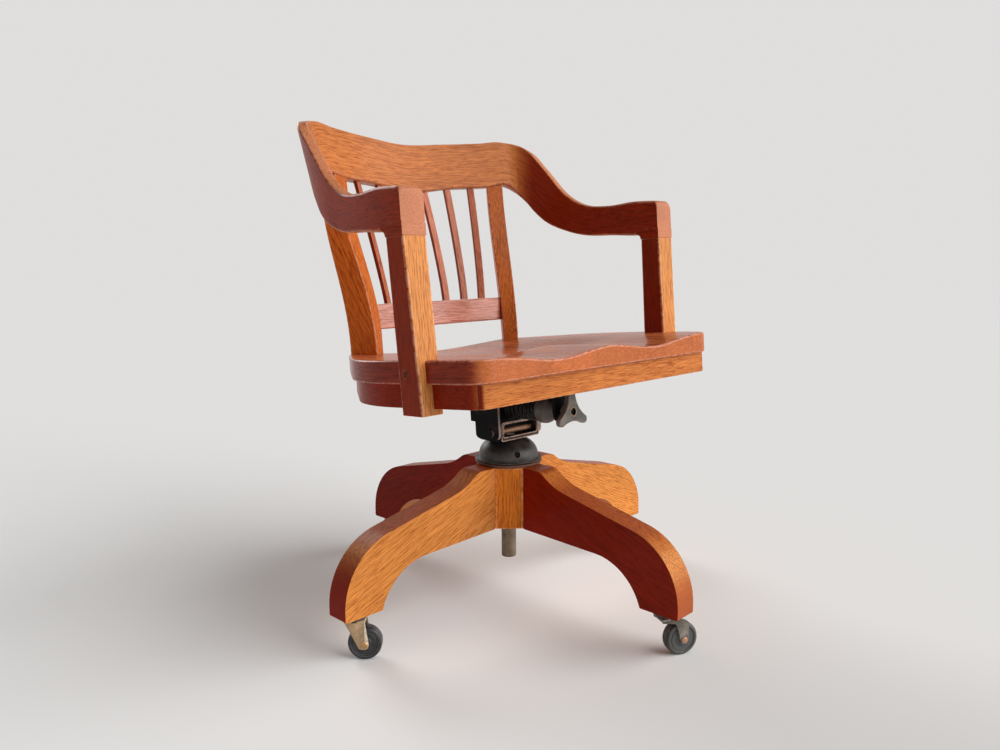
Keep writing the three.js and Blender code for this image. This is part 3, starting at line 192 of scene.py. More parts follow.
# Casters: the wheel's side is (radius, sink) from the hub to the tread, CASTERS has trail and heading
WHEEL_RADIUS = 25.4
WHEEL_WIDTH = 19
WHEEL_BOSS = 1
WHEEL_SIDE = [
    (9, -WHEEL_BOSS), (10.2, 0), (12, 0.8), (17.4, 0.8), (17.8, 0.2),
    (19, 1.8), (20.2, 0), (22.8, 0.3), (24.5, 1.4), (WHEEL_RADIUS, 3.6),
]
WHEEL_ROUNDING = 0.7
AXLE_RADIUS = 3.2
AXLE_HEAD = 5.2
AXLE_HEAD_EDGE = 1
AXLE_HEAD_RISE = 2.2
AXLE_ROUNDING = 1
FORK_TOP = 61.5
FORK_HALF = 15
FORK_CROWN = 3
FORK_CHEEK = 2.4
FORK_CUP = 14
FORK_EDGE = 0.7
TIP_RADIUS = 7.5
TIP_FRONT_SHARE = 0.95
TIP_ROUNDING_SHARE = 0.85
HORN_DROPS = (5, 9, 12)
HORN_ROUNDINGS = (3, 10, 3, 4, 8)
HORN_HOLLOW_SHARE = 0.45
HORN_TIP_SHARES = (0.6, 0.8, 0.7)
STEM_RADIUS = 4.2
STEM_LENGTH = 38
SOCKET_WALL = 1.8
SOCKET_ROUNDING = 0.5
FLANGE_RADIUS = 13
FLANGE_THICKNESS = 2
FLAT_DEPTH = 0.4
CASTERS = {
    "left": (13.6, radians(316.5)),
    "front": (22.4, radians(335.7)),
    "right": (16, radians(300)),
    "back": (16, radians(150)),
}

# Seat group
SEAT_LEAN = radians(4.5)
SEAT_SETBACK = 7.2
SEAT_HEIGHT = 408.6
SEAT_THICKNESS = 33
SEAT_FRONT = 232
SEAT_HALF_CORNERS = [(266.3, -SEAT_FRONT, 36), (307.3, -3.5, 200), (186, 190, 30)]
SEAT_REAR = 195
SEAT_REAR_BULGE = 900
SEAT_EDGE = 3.5
SEAT_EDGE_STEPS = 6
SEAT_LOWER_EDGE = 2.5
SEAT_LOWER_STEPS = 3
SEAT_STEP = 9
SEAT_LEVELS = 26
SEAT_CROWN_SHARE = 0.975
SEAT_HEART = (0, 0, -40)
SEAT_JOINTS = [-234, -85, 64, 213]
THIGH_DEPTH = 12
THIGH_X = 110
THIGH_WIDTH = 75
THIGH_FADE = (-60, 100)
DISH_DEPTH = 15
DISH_WIDTH = 150
DISH_START = (-120, 0)
DISH_REAR_RISE = 3
DISH_REAR = (120, SEAT_REAR)
APRON_DEPTH = 34
APRON_INSET = 9
APRON_SIDE = 36
APRON_FRONT_HALF = 255
APRON_FRONT_Y = 224
APRON_FRONT_THICKNESS = 22
APRON_ROUNDING = 5
APRON_EDGE = 1.5
APRON_STEP = 12
APRON_BACK_CUT = 158
APRON_SIDE_FROM = 200
APRON_CORNER_FROM = 160
APRON_SIDE_HEART = 240
APRON_BACK_HEART = (0, 170, 0)
BEYOND_SEAT = 320

# Arm posts: bottom and seam levels
POST_DROP = 42.7
POST_OUTER = 293.7
POST_FRONT = 144
POST_WIDTH = 37.3
POST_DEPTH = 45.6
POST_SEAM_HEIGHT = 200.5
POST_SEAM_FRONT = 137.2
POST_SEAM_DEPTH = 38.9
POST_ROUNDING = 3.5
POST_FINE_EDGE = 0.5
POST_FINE_ANGLE = radians(60)
POST_HEART = (280, -120, 0)
PLUG_RADIUS = 5.5
PLUG_HEIGHT = 15
PLUG_Y = -115
PLUG_DEPTH = 7
PLUG_PROUD = 0.4
PLUG_ROUNDING = 0.5

# Bow
BOW_REAR = 235.6
CREST_RADIUS = 565
CREST_TURN = radians(22.2)
CORNER_RADIUS = 63.5
CORNER_TURN = radians(55.8)
ARM_TURN = radians(12.1)
ARM_RUN = 286.6
BOW_PEAK = 420.8
BOW_HALF = CREST_RADIUS * CREST_TURN + CORNER_RADIUS * CORNER_TURN + ARM_RUN
STATION_SHARES = [0, 0.15, 0.3, 0.38, 0.46, 0.54, 0.62, 0.7, 0.8, 0.9, 1]
TOP_SHARES = [0.966, 0.98, 0.993, 1, 0.965, 0.851, 0.728, 0.663, 0.643, 0.644, 0.632]
BOTTOM_SHARES = [0.75, 0.772, 0.782, 0.789, 0.713, 0.609, 0.555, 0.525, 0.513, 0.5, 0.51]
BOW_LEAN = 23.7
LEAN_FADE_SHARES = (0.38, 0.68)
CREST_TOP_THICKNESS = 18
CREST_BOTTOM_THICKNESS = 28
CREST_THIN_SHARES = (0.34, 0.5)
ARM_THICKNESS = 40.6
ARM_SWELL_SHARES = (0.62, 1)
CREST_JOINT_SHARE = 0.43
CREST_ROUNDING = 4.5
CREST_RINGS = 120
ARM_ROUNDING = 7
ARM_NOSE = 9
ARM_KNEE = 9.9
ARM_RINGS = 90
NOSE_RINGS = 8
BOW_SAMPLES = 801
BOW_FOLLOW_SHARE = 0.8

# Back
BACK_FOOT = (166.1, 134.2)
BACK_HEAD = (192.4, 180.8)
BACK_FOOT_HEIGHT = 35
BACK_WIDTHS = (28.5, 33.5)
BACK_TURNS = (radians(32.4), radians(19))
BACK_DEPTHS = (46.5, 26)
BACK_SIDE_TURN = radians(38.5)
BACK_BEND = 1.1
BACK_ROUNDING = 2.5
BACK_LEVELS = 40
BACK_HEART = (170, 170, 200)
RAIL_LEVELS = (70, 113)
RAIL_FRONT = 158
RAIL_THICKNESS = 24
RAIL_HALF = 175
RAIL_ROUNDING = 3
RAIL_HEART = (0, 170, 90)
SLAT_WIDTH = 13.5
SLAT_THICKNESS = 8
SLAT_FOOT_Y = 172
SLAT_FEET = [22, 66, 110]
SLAT_HEADS = [27, 79, 131]
SLAT_TURNS = [radians(5), radians(16), radians(26)]
SLAT_INSET = 9
SLAT_BEND = 1.25
SLAT_ROUNDING = 1.8
SLAT_LEVELS = 24
SLAT_HEART_HEIGHT = 200
SLAT_SEED_STEP = 5

# Tilt iron
PIN_Y = -12
PIN_HEIGHT = 297
PIN_RADIUS = 4.5
PIN_HEAD = 7
PIN_HEAD_THICKNESS = 3
PIN_ROUNDING = 1
CASTING_EDGE = 1
EAR_SPREAD = 50
EAR_THICKNESS = 4.5
EAR_FRONT_SHARE = -0.8
IRON_FRONT = -133
IRON_REAR = 62
IRON_TOP = 5
IRON_LUG_HALF = 78
IRON_LUG = 26
SEAT_SCREWS = 4
EAR_CORNERS = [
    (IRON_FRONT, -26, 8), (-28, -26, 8), (-28, -122, 8), (29, -122, 8), (29, -94, 2),
    (40, -94, 2), (40, -26, 8), (IRON_REAR, -26, 8), (IRON_REAR, -SEAM, 0), (IRON_FRONT, -SEAM, 0),
]
WALL_Y = -127
WALL_THICKNESS = 4.5
WALL_HALF = 19
WALL_ROUNDING = 17
BOLT_DROP = 74
BOLT_RADIUS = 5.4
BOLT_RING = 9
BOLT_HOLLOW = 5.9
BOLT_RING_RISE = 0.5
BOLT_TAIL = -58
BOLT_ROUNDING = 0.8
COLLAR_RADIUS = 9
COLLAR_LENGTH = 4
KNOB_FACE = -150
KNOB_RECESS = 5.6
BOLT_END = KNOB_FACE + KNOB_RECESS
KNOB_THICKNESS = 10
KNOB_REACH = 36
KNOB_LOBES = 3
KNOB_LOBE = 7
KNOB_LOBE_TURN = radians(75)
KNOB_STEPS = 16
KNOB_WAIST = 15.5
KNOB_EDGE = 2.2
KNOB_HUB = 12
KNOB_HUB_TAPER = 1
KNOB_HUB_SINK = 3
KNOB_HUB_RISE = 8
CUP_RIM = 22
CUP_RIM_Y = -84
CUP_FLOOR_Y = -90
CUP_NECK = 12.5
CUP_NECK_Y = -115
CUP_LIP = 2
CUP_ROUNDING = 0.7
BELL_STEPS = 18
BELL_SHARE = 0.8
SPRING_RADIUS = 19.4
SPRING_WIRE = 2.5
SPRING_TURNS = 9
SPRING_STEPS = 36
SPRING_SIDES = 14
YOKE_HALF = 40.4
YOKE_WALL = 4.6
YOKE_FRONT = -26
YOKE_REAR = 27
YOKE_FLOOR = 282
YOKE_FLOOR_THICKNESS = 6
YOKE_TOP = 326
YOKE_ROUNDING = 8
YOKE_NECK = 281
YOKE_NECK_RADIUS = 23
UPRIGHT_Y = -7
UPRIGHT_THICKNESS = 6
UPRIGHT_HALF = 22
UPRIGHT_DROP = 52
WINDOW_PLATE = (-44, 284.5, 44, 316.4)
WINDOW = (-39, 291, 39, 313)
WINDOW_ROUNDING = 4
WINDOW_PLATE_THICKNESS = 2.6
WINDOW_EDGE = 0.5
WINDOW_LIP = 1.3
WINDOW_LIP_RISE = 1.2

BASE_MATRIX = Matrix.Rotation(BASE_TURN, 4, "Z")
SEAT_MATRIX = Matrix.Translation(
    (0, SEAT_SETBACK * cos(SEAT_LEAN), SEAT_HEIGHT - SEAT_SETBACK * sin(SEAT_LEAN))
) @ Matrix.Rotation(-SEAT_LEAN, 4, "X")
BOLT_MATRIX = SEAT_MATRIX @ Matrix.Translation((0, 0, -BOLT_DROP))
PIN_MATRIX = Matrix.Translation((0, PIN_Y, PIN_HEIGHT))


def mix(a, b, share):
    return a + (b - a) * share


def smooth(value, low=0, high=1):
    share = min(max((value - low) / (high - low), 0), 1)
    return share * share * (3 - 2 * share)


def turns_of(count):
    return [2 * pi * i / count for i in range(count)]


def polar(radius, angle):
    return Vector((radius * cos(angle), radius * sin(angle)))


def curve(start, pull, end, t):
    return start * (1 - t) ** 2 + pull * 2 * t * (1 - t) + end * t * t


# Outlines: the points of a closed outline whose corners are (x, y, radius)
def outline(corners, steps=0):
    points = []
    for i, (x, y, radius) in enumerate(corners):
        corner = Vector((x, y))
        back = (Vector(corners[i - 1][:2]) - corner).normalized()
        ahead = (Vector(corners[(i + 1) % len(corners)][:2]) - corner).normalized()
        half = math.acos(max(-1, min(1, back.dot(ahead)))) / 2
        turn = pi - 2 * half
        if not radius or turn < LEAST_TURN:
            points.append(corner)
            continue
        count = steps or max(2, math.ceil(turn / ARC_STEP))
        start = back * (radius / tan(half))
        to_centre = (back + ahead).normalized() * (radius / sin(half))
        side = -1 if back.cross(ahead) > 0 else 1
        spoke = start - to_centre
        for k in range(count + 1):
            spun = spoke.copy()
            spun.rotate(Matrix.Rotation(side * turn * k / count, 2))
            points.append(spun + to_centre + corner)
    return points


def rectangle(low_x, low_y, high_x, high_y, radius=0):
    corners = [(low_x, low_y), (high_x, low_y), (high_x, high_y), (low_x, high_y)]
    return outline([(x, y, radius) for x, y in corners])


def circle(x, y, radius):
    return [Vector((x + radius * cos(a), y + radius * sin(a))) for a in turns_of(SMALL_SIDES)]


def inset(corners, distance):
    """Corners of an outline that runs counter-clockwise, with each edge moved inwards."""
    edges = []
    for i, (x, y, _) in enumerate(corners):
        next_x, next_y, _ = corners[(i + 1) % len(corners)]
        along = Vector((next_x - x, next_y - y)).normalized()
        edges.append((along, Vector((x - along.y * distance, y + along.x * distance))))
    moved = []
    for i, (_, _, radius) in enumerate(corners):
        before, before_from = edges[i - 1]
        after, after_from = edges[i]
        reach = (after_from - before_from).cross(after) / before.cross(after)
        corner = before_from + before * reach
        moved.append((corner.x, corner.y, max(radius - distance, 0)))
    return moved


def divided(points, step):
    """The outline with its long edges cut into parts no longer than step."""
    found = []
    for i, point in enumerate(points):
        ahead = points[(i + 1) % len(points)]
        parts = max(1, math.ceil((ahead - point).length / step))
        found += [point.lerp(ahead, k / parts) for k in range(parts)]
    return found


# Profiles of turned pieces: (radius, along) points
def rod(radius, low, high, bore=0):
    return [(bore, low), (radius, low), (radius, high), (bore, high)]


def stacked(lower, upper):
    """Two rods end to end as one profile."""
    return lower[:3] + upper[1:]


def both_ends(profile):
    """A profile with its mirror image before it."""
    return [(radius, -along) for radius, along in profile[::-1]] + profile


def rounded(profile, radius):
    """The profile with its inner corners rounded off."""
    points = [profile[0]]
    for i in range(1, len(profile) - 1):
        corner = Vector(profile[i])
        before = Vector(profile[i - 1]) - corner
        after = Vector(profile[i + 1]) - corner
        reach = min(radius, before.length / 2, after.length / 2)
        start = corner + before.normalized() * reach
        end = corner + after.normalized() * reach
        points += [tuple(curve(start, corner, end, k / PROFILE_STEPS)) for k in range(PROFILE_STEPS + 1)]
    return points + [profile[-1]]


# Places: (a, b) across an axis and c along it, as a point
def along_x(a, b, c):
    return (c, a, b)


def along_y(a, b, c):
    return (a, c, b)


def along_z(a, b, c):
    return (a, b, c)


# Meshes
def new_object(name, points, faces, matrix=None):
    mesh = bpy.data.meshes.new(name)
    placed = [matrix @ Vector(p) if matrix else Vector(p) for p in points]
    mesh.from_pydata([p * MM for p in placed], [], faces)
    shape = bmesh.new()
    shape.from_mesh(mesh)
    bmesh.ops.remove_doubles(shape, verts=shape.verts, dist=MERGE_REACH)
    bmesh.ops.recalc_face_normals(shape, faces=shape.faces)
    shape.to_mesh(mesh)
    shape.free()
    obj = bpy.data.objects.new(name, mesh)
    bpy.context.scene.collection.objects.link(obj)
    return obj


def bands(starts, count):
    """The faces between neighbouring rings, each of count points from its start."""
    pairs = [(i, (i + 1) % count) for i in range(count)]
    return [(low + i, low + j, high + j, high + i) for low, high in zip(starts, starts[1:]) for i, j in pairs]


def loft(name, rings, matrix=None, closed=False):
    """A solid through rings of points; a closed one joins its last ring to its first."""
    count = len(rings[0])
    points = [p for ring in rings for p in ring]
    starts = list(range(0, len(points), count))
    faces = bands(starts + [0] if closed else starts, count)
    if not closed:
        faces.append(tuple(range(count))[::-1])
        faces.append(tuple(range(len(points) - count, len(points))))
    return new_object(name, points, faces, matrix)


def slab(name, points, low, high, place, matrix=None, holes=()):
    """A flat board of an outline, from low to high along the axis of place."""
    board = loft(name, [[place(p[0], p[1], c) for p in points] for c in (low, high)], matrix)
    for hole in holes:
        rings = [[place(p[0], p[1], c) for p in hole] for c in (low - OVERRUN, high + OVERRUN)]
        combine(board, loft("hole", rings, matrix))
    return board


def box(name, low, high, matrix=None):
    return slab(name, rectangle(*low[:2], *high[:2]), low[2], high[2], along_z, matrix)


def turned(name, profile, place, matrix=None, sides=TURNED_SIDES):
    """A turned piece about the axis of place; a profile that starts on the axis makes a solid one."""
    turns = turns_of(sides)
    rings = [[place(radius * cos(a), radius * sin(a), along) for a in turns] for radius, along in profile]
    if profile[0][0] > 0:
        return loft(name, rings, matrix, closed=True)
    points = [p for ring in rings[1:-1] for p in ring]
    first = len(points)
    last = first - sides
    faces = bands(list(range(0, first, sides)), sides)
    for i in range(sides):
        j = (i + 1) % sides
        faces += [(first, j, i), (first + 1, last + i, last + j)]
    return new_object(name, points + [rings[0][0], rings[-1][0]], faces, matrix)


def applied(obj):
    bpy.context.view_layer.update()
    graph = bpy.context.evaluated_depsgraph_get()
    mesh = bpy.data.meshes.new_from_object(obj.evaluated_get(graph))
    obj.modifiers.clear()
    obj.data = mesh


def combine(obj, *others, operation="DIFFERENCE"):
    for other in others:
        step = obj.modifiers.new("combine", "BOOLEAN")
        step.object = other
        step.operation = operation
        step.solver = "EXACT"
        applied(obj)
        bpy.data.objects.remove(other)


def join(obj, *others):
    combine(obj, *others, operation="UNION")


def eased(obj, width=0.0, segments=3, angle=EASE_ANGLE):
    """Rounds the edges and sets the shading."""
    if width:
        step = obj.modifiers.new("ease", "BEVEL")
        step.width = width * MM
        step.segments = segments
        step.limit_method = "ANGLE"
        step.angle_limit = angle
        step.miter_outer = "MITER_ARC"
        applied(obj)
    for polygon in obj.data.polygons:
        polygon.use_smooth = True
    obj.data.set_sharp_from_angle(angle=SHARP_ANGLE)
    step = obj.modifiers.new("weigh", "WEIGHTED_NORMAL")
    step.keep_sharp = True
    applied(obj)
    return mark_edges(obj)


def mark_edges(obj):
    """Stores 1 on the narrow bent faces of rounded edges and 0 on the rest: worn edges, on oak also painted
    highlight.
    """
    shape = bmesh.new()
    shape.from_mesh(obj.data)
    marks = []
    for face in shape.faces:
        lengths = [edge.calc_length() for edge in face.edges]
        bends = [edge.calc_face_angle(0) * length for edge, length in zip(face.edges, lengths)]
        around = sum(lengths)
        narrow = 2 * face.calc_area() < EDGE_WIDTH * MM * around
        marks.append(float(narrow and sum(bends) > EDGE_BEND * around))
    shape.free()
    layers = obj.data.attributes
    layer = layers.get("edge") or layers.new("edge", "FLOAT", "FACE")
    layer.data.foreach_set("value", marks)
    return obj


# Grain: where each point lies along, across and up the piece's timber
def set_grain(obj, heart, along, up, seed, matrix=None):
    """Stores (along, across, up) in metres from the heart, moved by a different amount for each piece."""
    along = Vector(along).normalized()
    up = Vector(up)
    up = (up - along * up.dot(along)).normalized()
    side = up.cross(along)
    heart = Vector(heart)
    if matrix:
        turn = matrix.to_3x3()
        heart = matrix @ heart
        along, up, side = turn @ along, turn @ up, turn @ side
    store_ends(obj, [abs(polygon.normal.dot(along)) for polygon in obj.data.polygons])
    basis = np.array([along, side, up])
    store_grain(obj, (mesh_points(obj) - np.array(heart) * MM) @ basis.T, seed)


def store_ends(obj, shares):
    """Stores how squarely each face cuts the grain, or a wheel's axle."""
    layer = obj.data.attributes.new("end", "FLOAT", "FACE")
    layer.data.foreach_set("value", shares)


def mesh_points(obj):
    points = np.empty(len(obj.data.vertices) * 3, np.float32)
    obj.data.vertices.foreach_get("co", points)
    return points.reshape(-1, 3)


def store_grain(obj, values, seed):
    chance = random.Random(seed)
    shift = np.array([chance.uniform(*span) for span in GRAIN_SHIFTS])
    layer = obj.data.attributes.new("grain", "FLOAT_VECTOR", "POINT")
    layer.data.foreach_set("vector", (values + shift).astype(np.float32).ravel())


def set_bow_grain(obj, seed):
    """Grain that follows the bow round its curve and most of the way down its sweep."""
    distances = np.linspace(-BOW_HALF, BOW_HALF, BOW_SAMPLES)
    places = [bow_plan(abs(d)) for d in distances]
    line = np.array([(math.copysign(x, d), y) for d, (x, y, _) in zip(distances, places)])
    tangents = np.gradient(line, distances, axis=0)
    sections = [bow_section(abs(d) / BOW_HALF) for d in distances]
    levels = np.array([(section["top"] + section["bottom"]) / 2 for section in sections])
    turn = np.array(SEAT_MATRIX.inverted())
    points = mesh_points(obj) / MM @ turn[:3, :3].T + turn[:3, 3]
    near = np.linalg.norm(points[:, None, :2] - line[None], axis=2).argmin(axis=1)
    offset = points[:, :2] - line[near]
    tangent = tangents[near]
    along = distances[near] + (offset * tangent).sum(axis=1)
    aside = offset[:, 1] * tangent[:, 0] - offset[:, 0] * tangent[:, 1]
    seat_turn = SEAT_MATRIX.to_3x3()
    ways = [seat_turn @ Vector((*tangent[polygon.vertices[0]], 0)) for polygon in obj.data.polygons]
    store_ends(obj, [abs(polygon.normal.dot(way)) for polygon, way in zip(obj.data.polygons, ways)])
    fall = np.interp(along, distances, levels) - levels.max()
    height = points[:, 2] - levels.max() - BOW_FOLLOW_SHARE * fall
    store_grain(obj, np.stack([along, aside, height], axis=1) * MM, seed)


def dress(obj, body, material, node):
    obj.data.materials.clear()
    obj.data.materials.append(material)
    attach(obj, body)
    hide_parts(node)


def paint(obj, material, chosen):
    """Gives the faces for which chosen is true a second material."""
    obj.data.materials.append(material)
    for polygon in obj.data.polygons:
        polygon.material_index = int(chosen(polygon))


# Materials: their colours are written as on a screen, 0 to 255
class Graph:
    """The nodes of a material or of the world, made and joined in short calls."""

    def __init__(self, owner):
        owner.use_nodes = True
        self.owner = owner
        self.nodes = owner.node_tree.nodes

    def put(self, socket, value):
        """Joins the socket to another one, or sets its value."""
        if isinstance(value, bpy.types.NodeSocket):
            self.owner.node_tree.links.new(value, socket)
        else:
            socket.default_value = value

    def add(self, kind, inputs=None, **settings):
        node = self.nodes.new("ShaderNode" + kind)
        for key, value in settings.items():
            setattr(node, key, value)
        for key, value in (inputs or {}).items():
            self.put(node.inputs[key], value)
        return node

    def math(self, operation, *values):
        return self.add("Math", dict(enumerate(values)), operation=operation).outputs[0]

    def times(self, first, second):
        return self.math("MULTIPLY", first, second)

    def plus(self, first, second):
        return self.math("ADD", first, second)

    def most(self, first, second):
        return self.math("MAXIMUM", first, second)

    def vector(self, operation, inputs):
        return self.add("VectorMath", inputs, operation=operation).outputs[0]

    def noise(self, place, scale, detail, roughness=0.5):
        inputs = {"Vector": place, "Scale": scale, "Detail": detail, "Roughness": roughness}
        return self.add("TexNoise", inputs).outputs["Fac"]

    def grained(self, grain, waves, detail, roughness=0.5):
        """Noise with its own number of waves along, across and up the grain."""
        return self.noise(self.vector("MULTIPLY", {0: grain, 1: waves}), 1.0, detail, roughness)

    def ramp(self, value, low, high, to_low=0.0, to_high=1.0):
        inputs = {"Value": value, "From Min": low, "From Max": high, "To Min": to_low, "To Max": to_high}
        return self.add("MapRange", inputs, interpolation_type="SMOOTHSTEP").outputs["Result"]

    def blend(self, share, first, second, mode="MIX"):
        inputs = {0: share, 6: first, 7: second}
        return self.add("Mix", inputs, data_type="RGBA", blend_type=mode).outputs[2]

    def tuned(self, tone, value, saturation=1.0):
        """The colour with its value and saturation multiplied."""
        inputs = {"Color": tone, "Value": value, "Saturation": saturation}
        return self.add("HueSaturation", inputs).outputs[0]

    def bump(self, height, distance, strength):
        return self.add("Bump", {"Height": height, "Distance": distance, "Strength": strength}).outputs[0]

    def stored(self, name, output="Fac"):
        return self.add("Attribute", attribute_name=name).outputs[output]

    def split(self, vector, index):
        return self.add("SeparateXYZ", {0: vector}).outputs[index]

    def set(self, **inputs):
        """Joins or sets sockets of the shader, and returns the material."""
        for key, value in inputs.items():
            self.put(self.nodes["Principled BSDF"].inputs[key.replace("_", " ")], value)
        return self.owner


def colour(red, green, blue):
    """A colour of the screen as a linear one."""
    shares = [c / 255 for c in (red, green, blue)]
    linear = [s / 12.92 if s <= 0.04045 else ((s + 0.055) / 1.055) ** 2.4 for s in shares]
    return (*linear, 1.0)


def glued_boards(g, grain, across, joints):
    """Boards side by side: their own grain, the glue lines between them and a shade for each."""
    step, glue = 1.0, 0.0
    for joint in joints:
        past = g.math("GREATER_THAN", across, joint * MM)
        grain = g.vector("ADD", {0: grain, 1: g.vector("SCALE", {0: BOARD_SHIFT, "Scale": past})})
        step = g.plus(g.times(step, -0.8), g.times(past, 0.35))
        near = g.math("ABSOLUTE", g.math("SUBTRACT", across, joint * MM))
        glue = g.most(glue, g.ramp(near, *GLUE_LINE, 1.0, 0.0))
    return grain, glue, g.ramp(step, -0.5, 0.9, 0.82, 1.12)


def early_wood(g, grain):
    """How dark the early wood of the wavy growth rings is, in some rings more than in others."""
    sway = g.ramp(g.grained(grain, SWAY_WAVES, 2.0), 0.2, 0.8, -SWAY, SWAY)
    aside = g.plus(g.split(grain, 1), sway)
    above = g.plus(g.split(grain, 2), sway)
    radius = g.math("SQRT", g.plus(g.times(aside, aside), g.times(above, above)))
    ripple = g.grained(grain, RIPPLE_WAVES, 3.0, 0.6)
    rings = g.plus(g.times(radius, RING_WAVES), g.times(ripple, RIPPLE_RINGS))
    chance = g.add("TexWhiteNoise", {"W": g.math("FLOOR", rings)}, noise_dimensions="1D").outputs["Value"]
    fade = g.ramp(g.math("FRACT", rings), 0.05, 0.6, 1.0, 0.0)
    return g.times(fade, g.ramp(chance, 0.0, 1.0, 0.25, 1.0))


def painted_facing_shade(g, normal, face, side, top_shade_share, end, ends):
    """Painted shade: the colour by the way the surface faces, the side colour on faces turned to ±X and on
    tops.
    """
    sideways = g.split(normal, 0)
    turned_aside = g.math("ABSOLUTE", sideways)
    turned_up = g.times(g.math("ABSOLUTE", g.split(normal, 2)), top_shade_share)
    painted_shade = g.ramp(g.most(turned_aside, turned_up), 0.45, 0.97)
    base = g.blend(g.times(painted_shade, g.ramp(sideways, 0.3, 0.8, 1.0, LEFT_SIDE_SHADE_SHARE)), face, side)
    if ends:
        base = g.blend(g.times(end, g.ramp(turned_aside, 0.5, 0.9, 1.0, 0.0)), base, colour(*ends))
    return base


def oak(name, face, side, roughness=0.36, gloss=0.06, edge_blend=0.4, joints=(), streaks=STREAK_WAVES,
        ends=None, top_shade_share=0.0, ring_share=0.34):
    """Varnished oak with painted shade: face colours the lit front and back faces, side the shaded sides.

    The sitter's left sides take a smaller share of that painted shade, the tops their own top share of it,
    and ends, if given, colours the end grain.
    """
    g = Graph(bpy.data.materials.new(name))
    where = g.add("TexCoord").outputs
    grain = g.stored("grain", "Vector")
    face, side = colour(*face), colour(*side)
    dark, board_shade = 0.0, 1.0
    if joints:
        grain, dark, board_shade = glued_boards(g, grain, g.split(where["Object"], 0), joints)
    early = early_wood(g, grain)
    streak = g.grained(grain, streaks, 3.0, 0.6)
    fibre = g.grained(grain, FIBRE_WAVES, 2.0, 0.6)
    pores = g.grained(grain, PORE_WAVES, 1.0, 0.6)
    pore = g.times(g.ramp(pores, 0.54, 0.66), g.plus(g.times(early, 0.7), 0.35))
    thick, thin = g.ramp(streak, 0.52, 0.36), g.ramp(fibre, 0.5, 0.3)
    for value, share in ((early, ring_share), (thick, 0.5), (thin, 0.35), (pore, 0.8)):
        dark = g.plus(dark, g.times(value, share))
    end = g.ramp(g.stored("end"), 0.45, 0.9)
    dark = g.times(dark, g.ramp(end, 0.0, 1.0, 1.0, 0.45))
    base = painted_facing_shade(g, where["Normal"], face, side, top_shade_share, end, ends)
    deep = g.blend(1.0, base, DEEP_SHARES, "MULTIPLY")
    tone = g.blend(g.math("MINIMUM", dark, 1.0), base, deep)
    tone = g.blend(g.times(g.ramp(streak, 0.5, 0.66), 0.42), tone, g.tuned(base, 1.38))
    broad = g.ramp(g.grained(grain, BROAD_WAVES, 2.0), 0.3, 0.7, 0.9, 1.1)
    tone = g.tuned(tone, g.times(broad, board_shade))
    # Rounded edges lightened towards a pale colour: partly worn wood, partly a painted highlight along the
    # edges
    rub = g.noise(where["Object"], OAK_RUB_WAVES, 3.0, 0.7)
    rubbed_and_highlit = g.times(g.stored("edge"), g.ramp(rub, 0.36, 0.6))
    tone = g.blend(g.times(rubbed_and_highlit, edge_blend), tone, g.tuned(g.blend(0.6, base, face), 1.6, 0.72))
    rough = g.ramp(g.plus(streak, g.times(pore, 0.4)), 0.3, 0.9, roughness - 0.06, roughness + 0.1)
    normal = g.bump(g.math("SUBTRACT", g.times(fibre, 0.5), pore), OAK_RELIEF, 0.6)
    g.set(Base_Color=tone, Roughness=rough, Normal=normal, Specular_IOR_Level=0.05)
    return g.set(Coat_Weight=gloss, Coat_Roughness=0.15)


def iron(name, base, worn, edge_share, roughness, metallic, waves=IRON_FINE_WAVES, rust_share=0.4,
         front_only=False, gloss=0.3):
    """Iron or steel: worn colours its rust and the worn rims of its edges, with front_only just the front
    ones.
    """
    g = Graph(bpy.data.materials.new(name))
    where = g.add("TexCoord").outputs
    base, worn = colour(*base), colour(*worn)
    broad = g.noise(where["Object"], IRON_BROAD_WAVES, 4.0, 0.6)
    fine = g.noise(where["Object"], waves, 3.0, 0.6)
    rub = g.noise(where["Object"], IRON_RUB_WAVES, 3.0, 0.7)
    edge_blend = g.times(g.stored("edge"), g.ramp(rub, 0.34, 0.56, 0.25, 1.0))
    if front_only:
        edge_blend = g.times(edge_blend, g.ramp(g.split(where["Normal"], 1), -0.15, -0.6))
    rust = g.ramp(g.plus(broad, g.times(fine, 0.35)), 0.7, 0.88)
    tone = g.blend(g.ramp(broad, 0.32, 0.68), base, g.tuned(base, 1.9))
    tone = g.blend(g.times(g.ramp(fine, 0.5, 0.7), 0.3), tone, g.tuned(base, 2.6, 0.8))
    tone = g.blend(g.times(rust, rust_share), tone, worn)
    tone = g.blend(g.times(edge_blend, edge_share), tone, worn)
    rough = g.ramp(broad, 0.25, 0.75, roughness - 0.12, roughness + 0.12)
    g.set(Base_Color=tone, Roughness=rough, Normal=g.bump(fine, IRON_RELIEF, 0.5))
    return g.set(Metallic=metallic, Specular_IOR_Level=gloss)


def rubber(name, side, tread, dust, roughness):
    g = Graph(bpy.data.materials.new(name))
    place = g.add("TexCoord").outputs["Object"]
    dust = colour(*dust)
    broad = g.noise(place, RUBBER_BROAD_WAVES, 4.0, 0.65)
    end = g.ramp(g.stored("end"), 0.4, 0.8)
    tone = g.blend(end, colour(*tread), colour(*side))
    tone = g.blend(g.times(g.ramp(broad, 0.45, 0.66), g.ramp(end, 0.0, 1.0, 0.8, 0.25)), tone, dust)
    tone = g.blend(g.times(g.stored("edge"), 0.5), tone, dust)
    rough = g.ramp(broad, 0.3, 0.7, roughness, roughness + 0.2)
    normal = g.bump(g.noise(place, RUBBER_FINE_WAVES, 2.0), RUBBER_RELIEF, 0.3)
    return g.set(Base_Color=tone, Roughness=rough, Normal=normal)
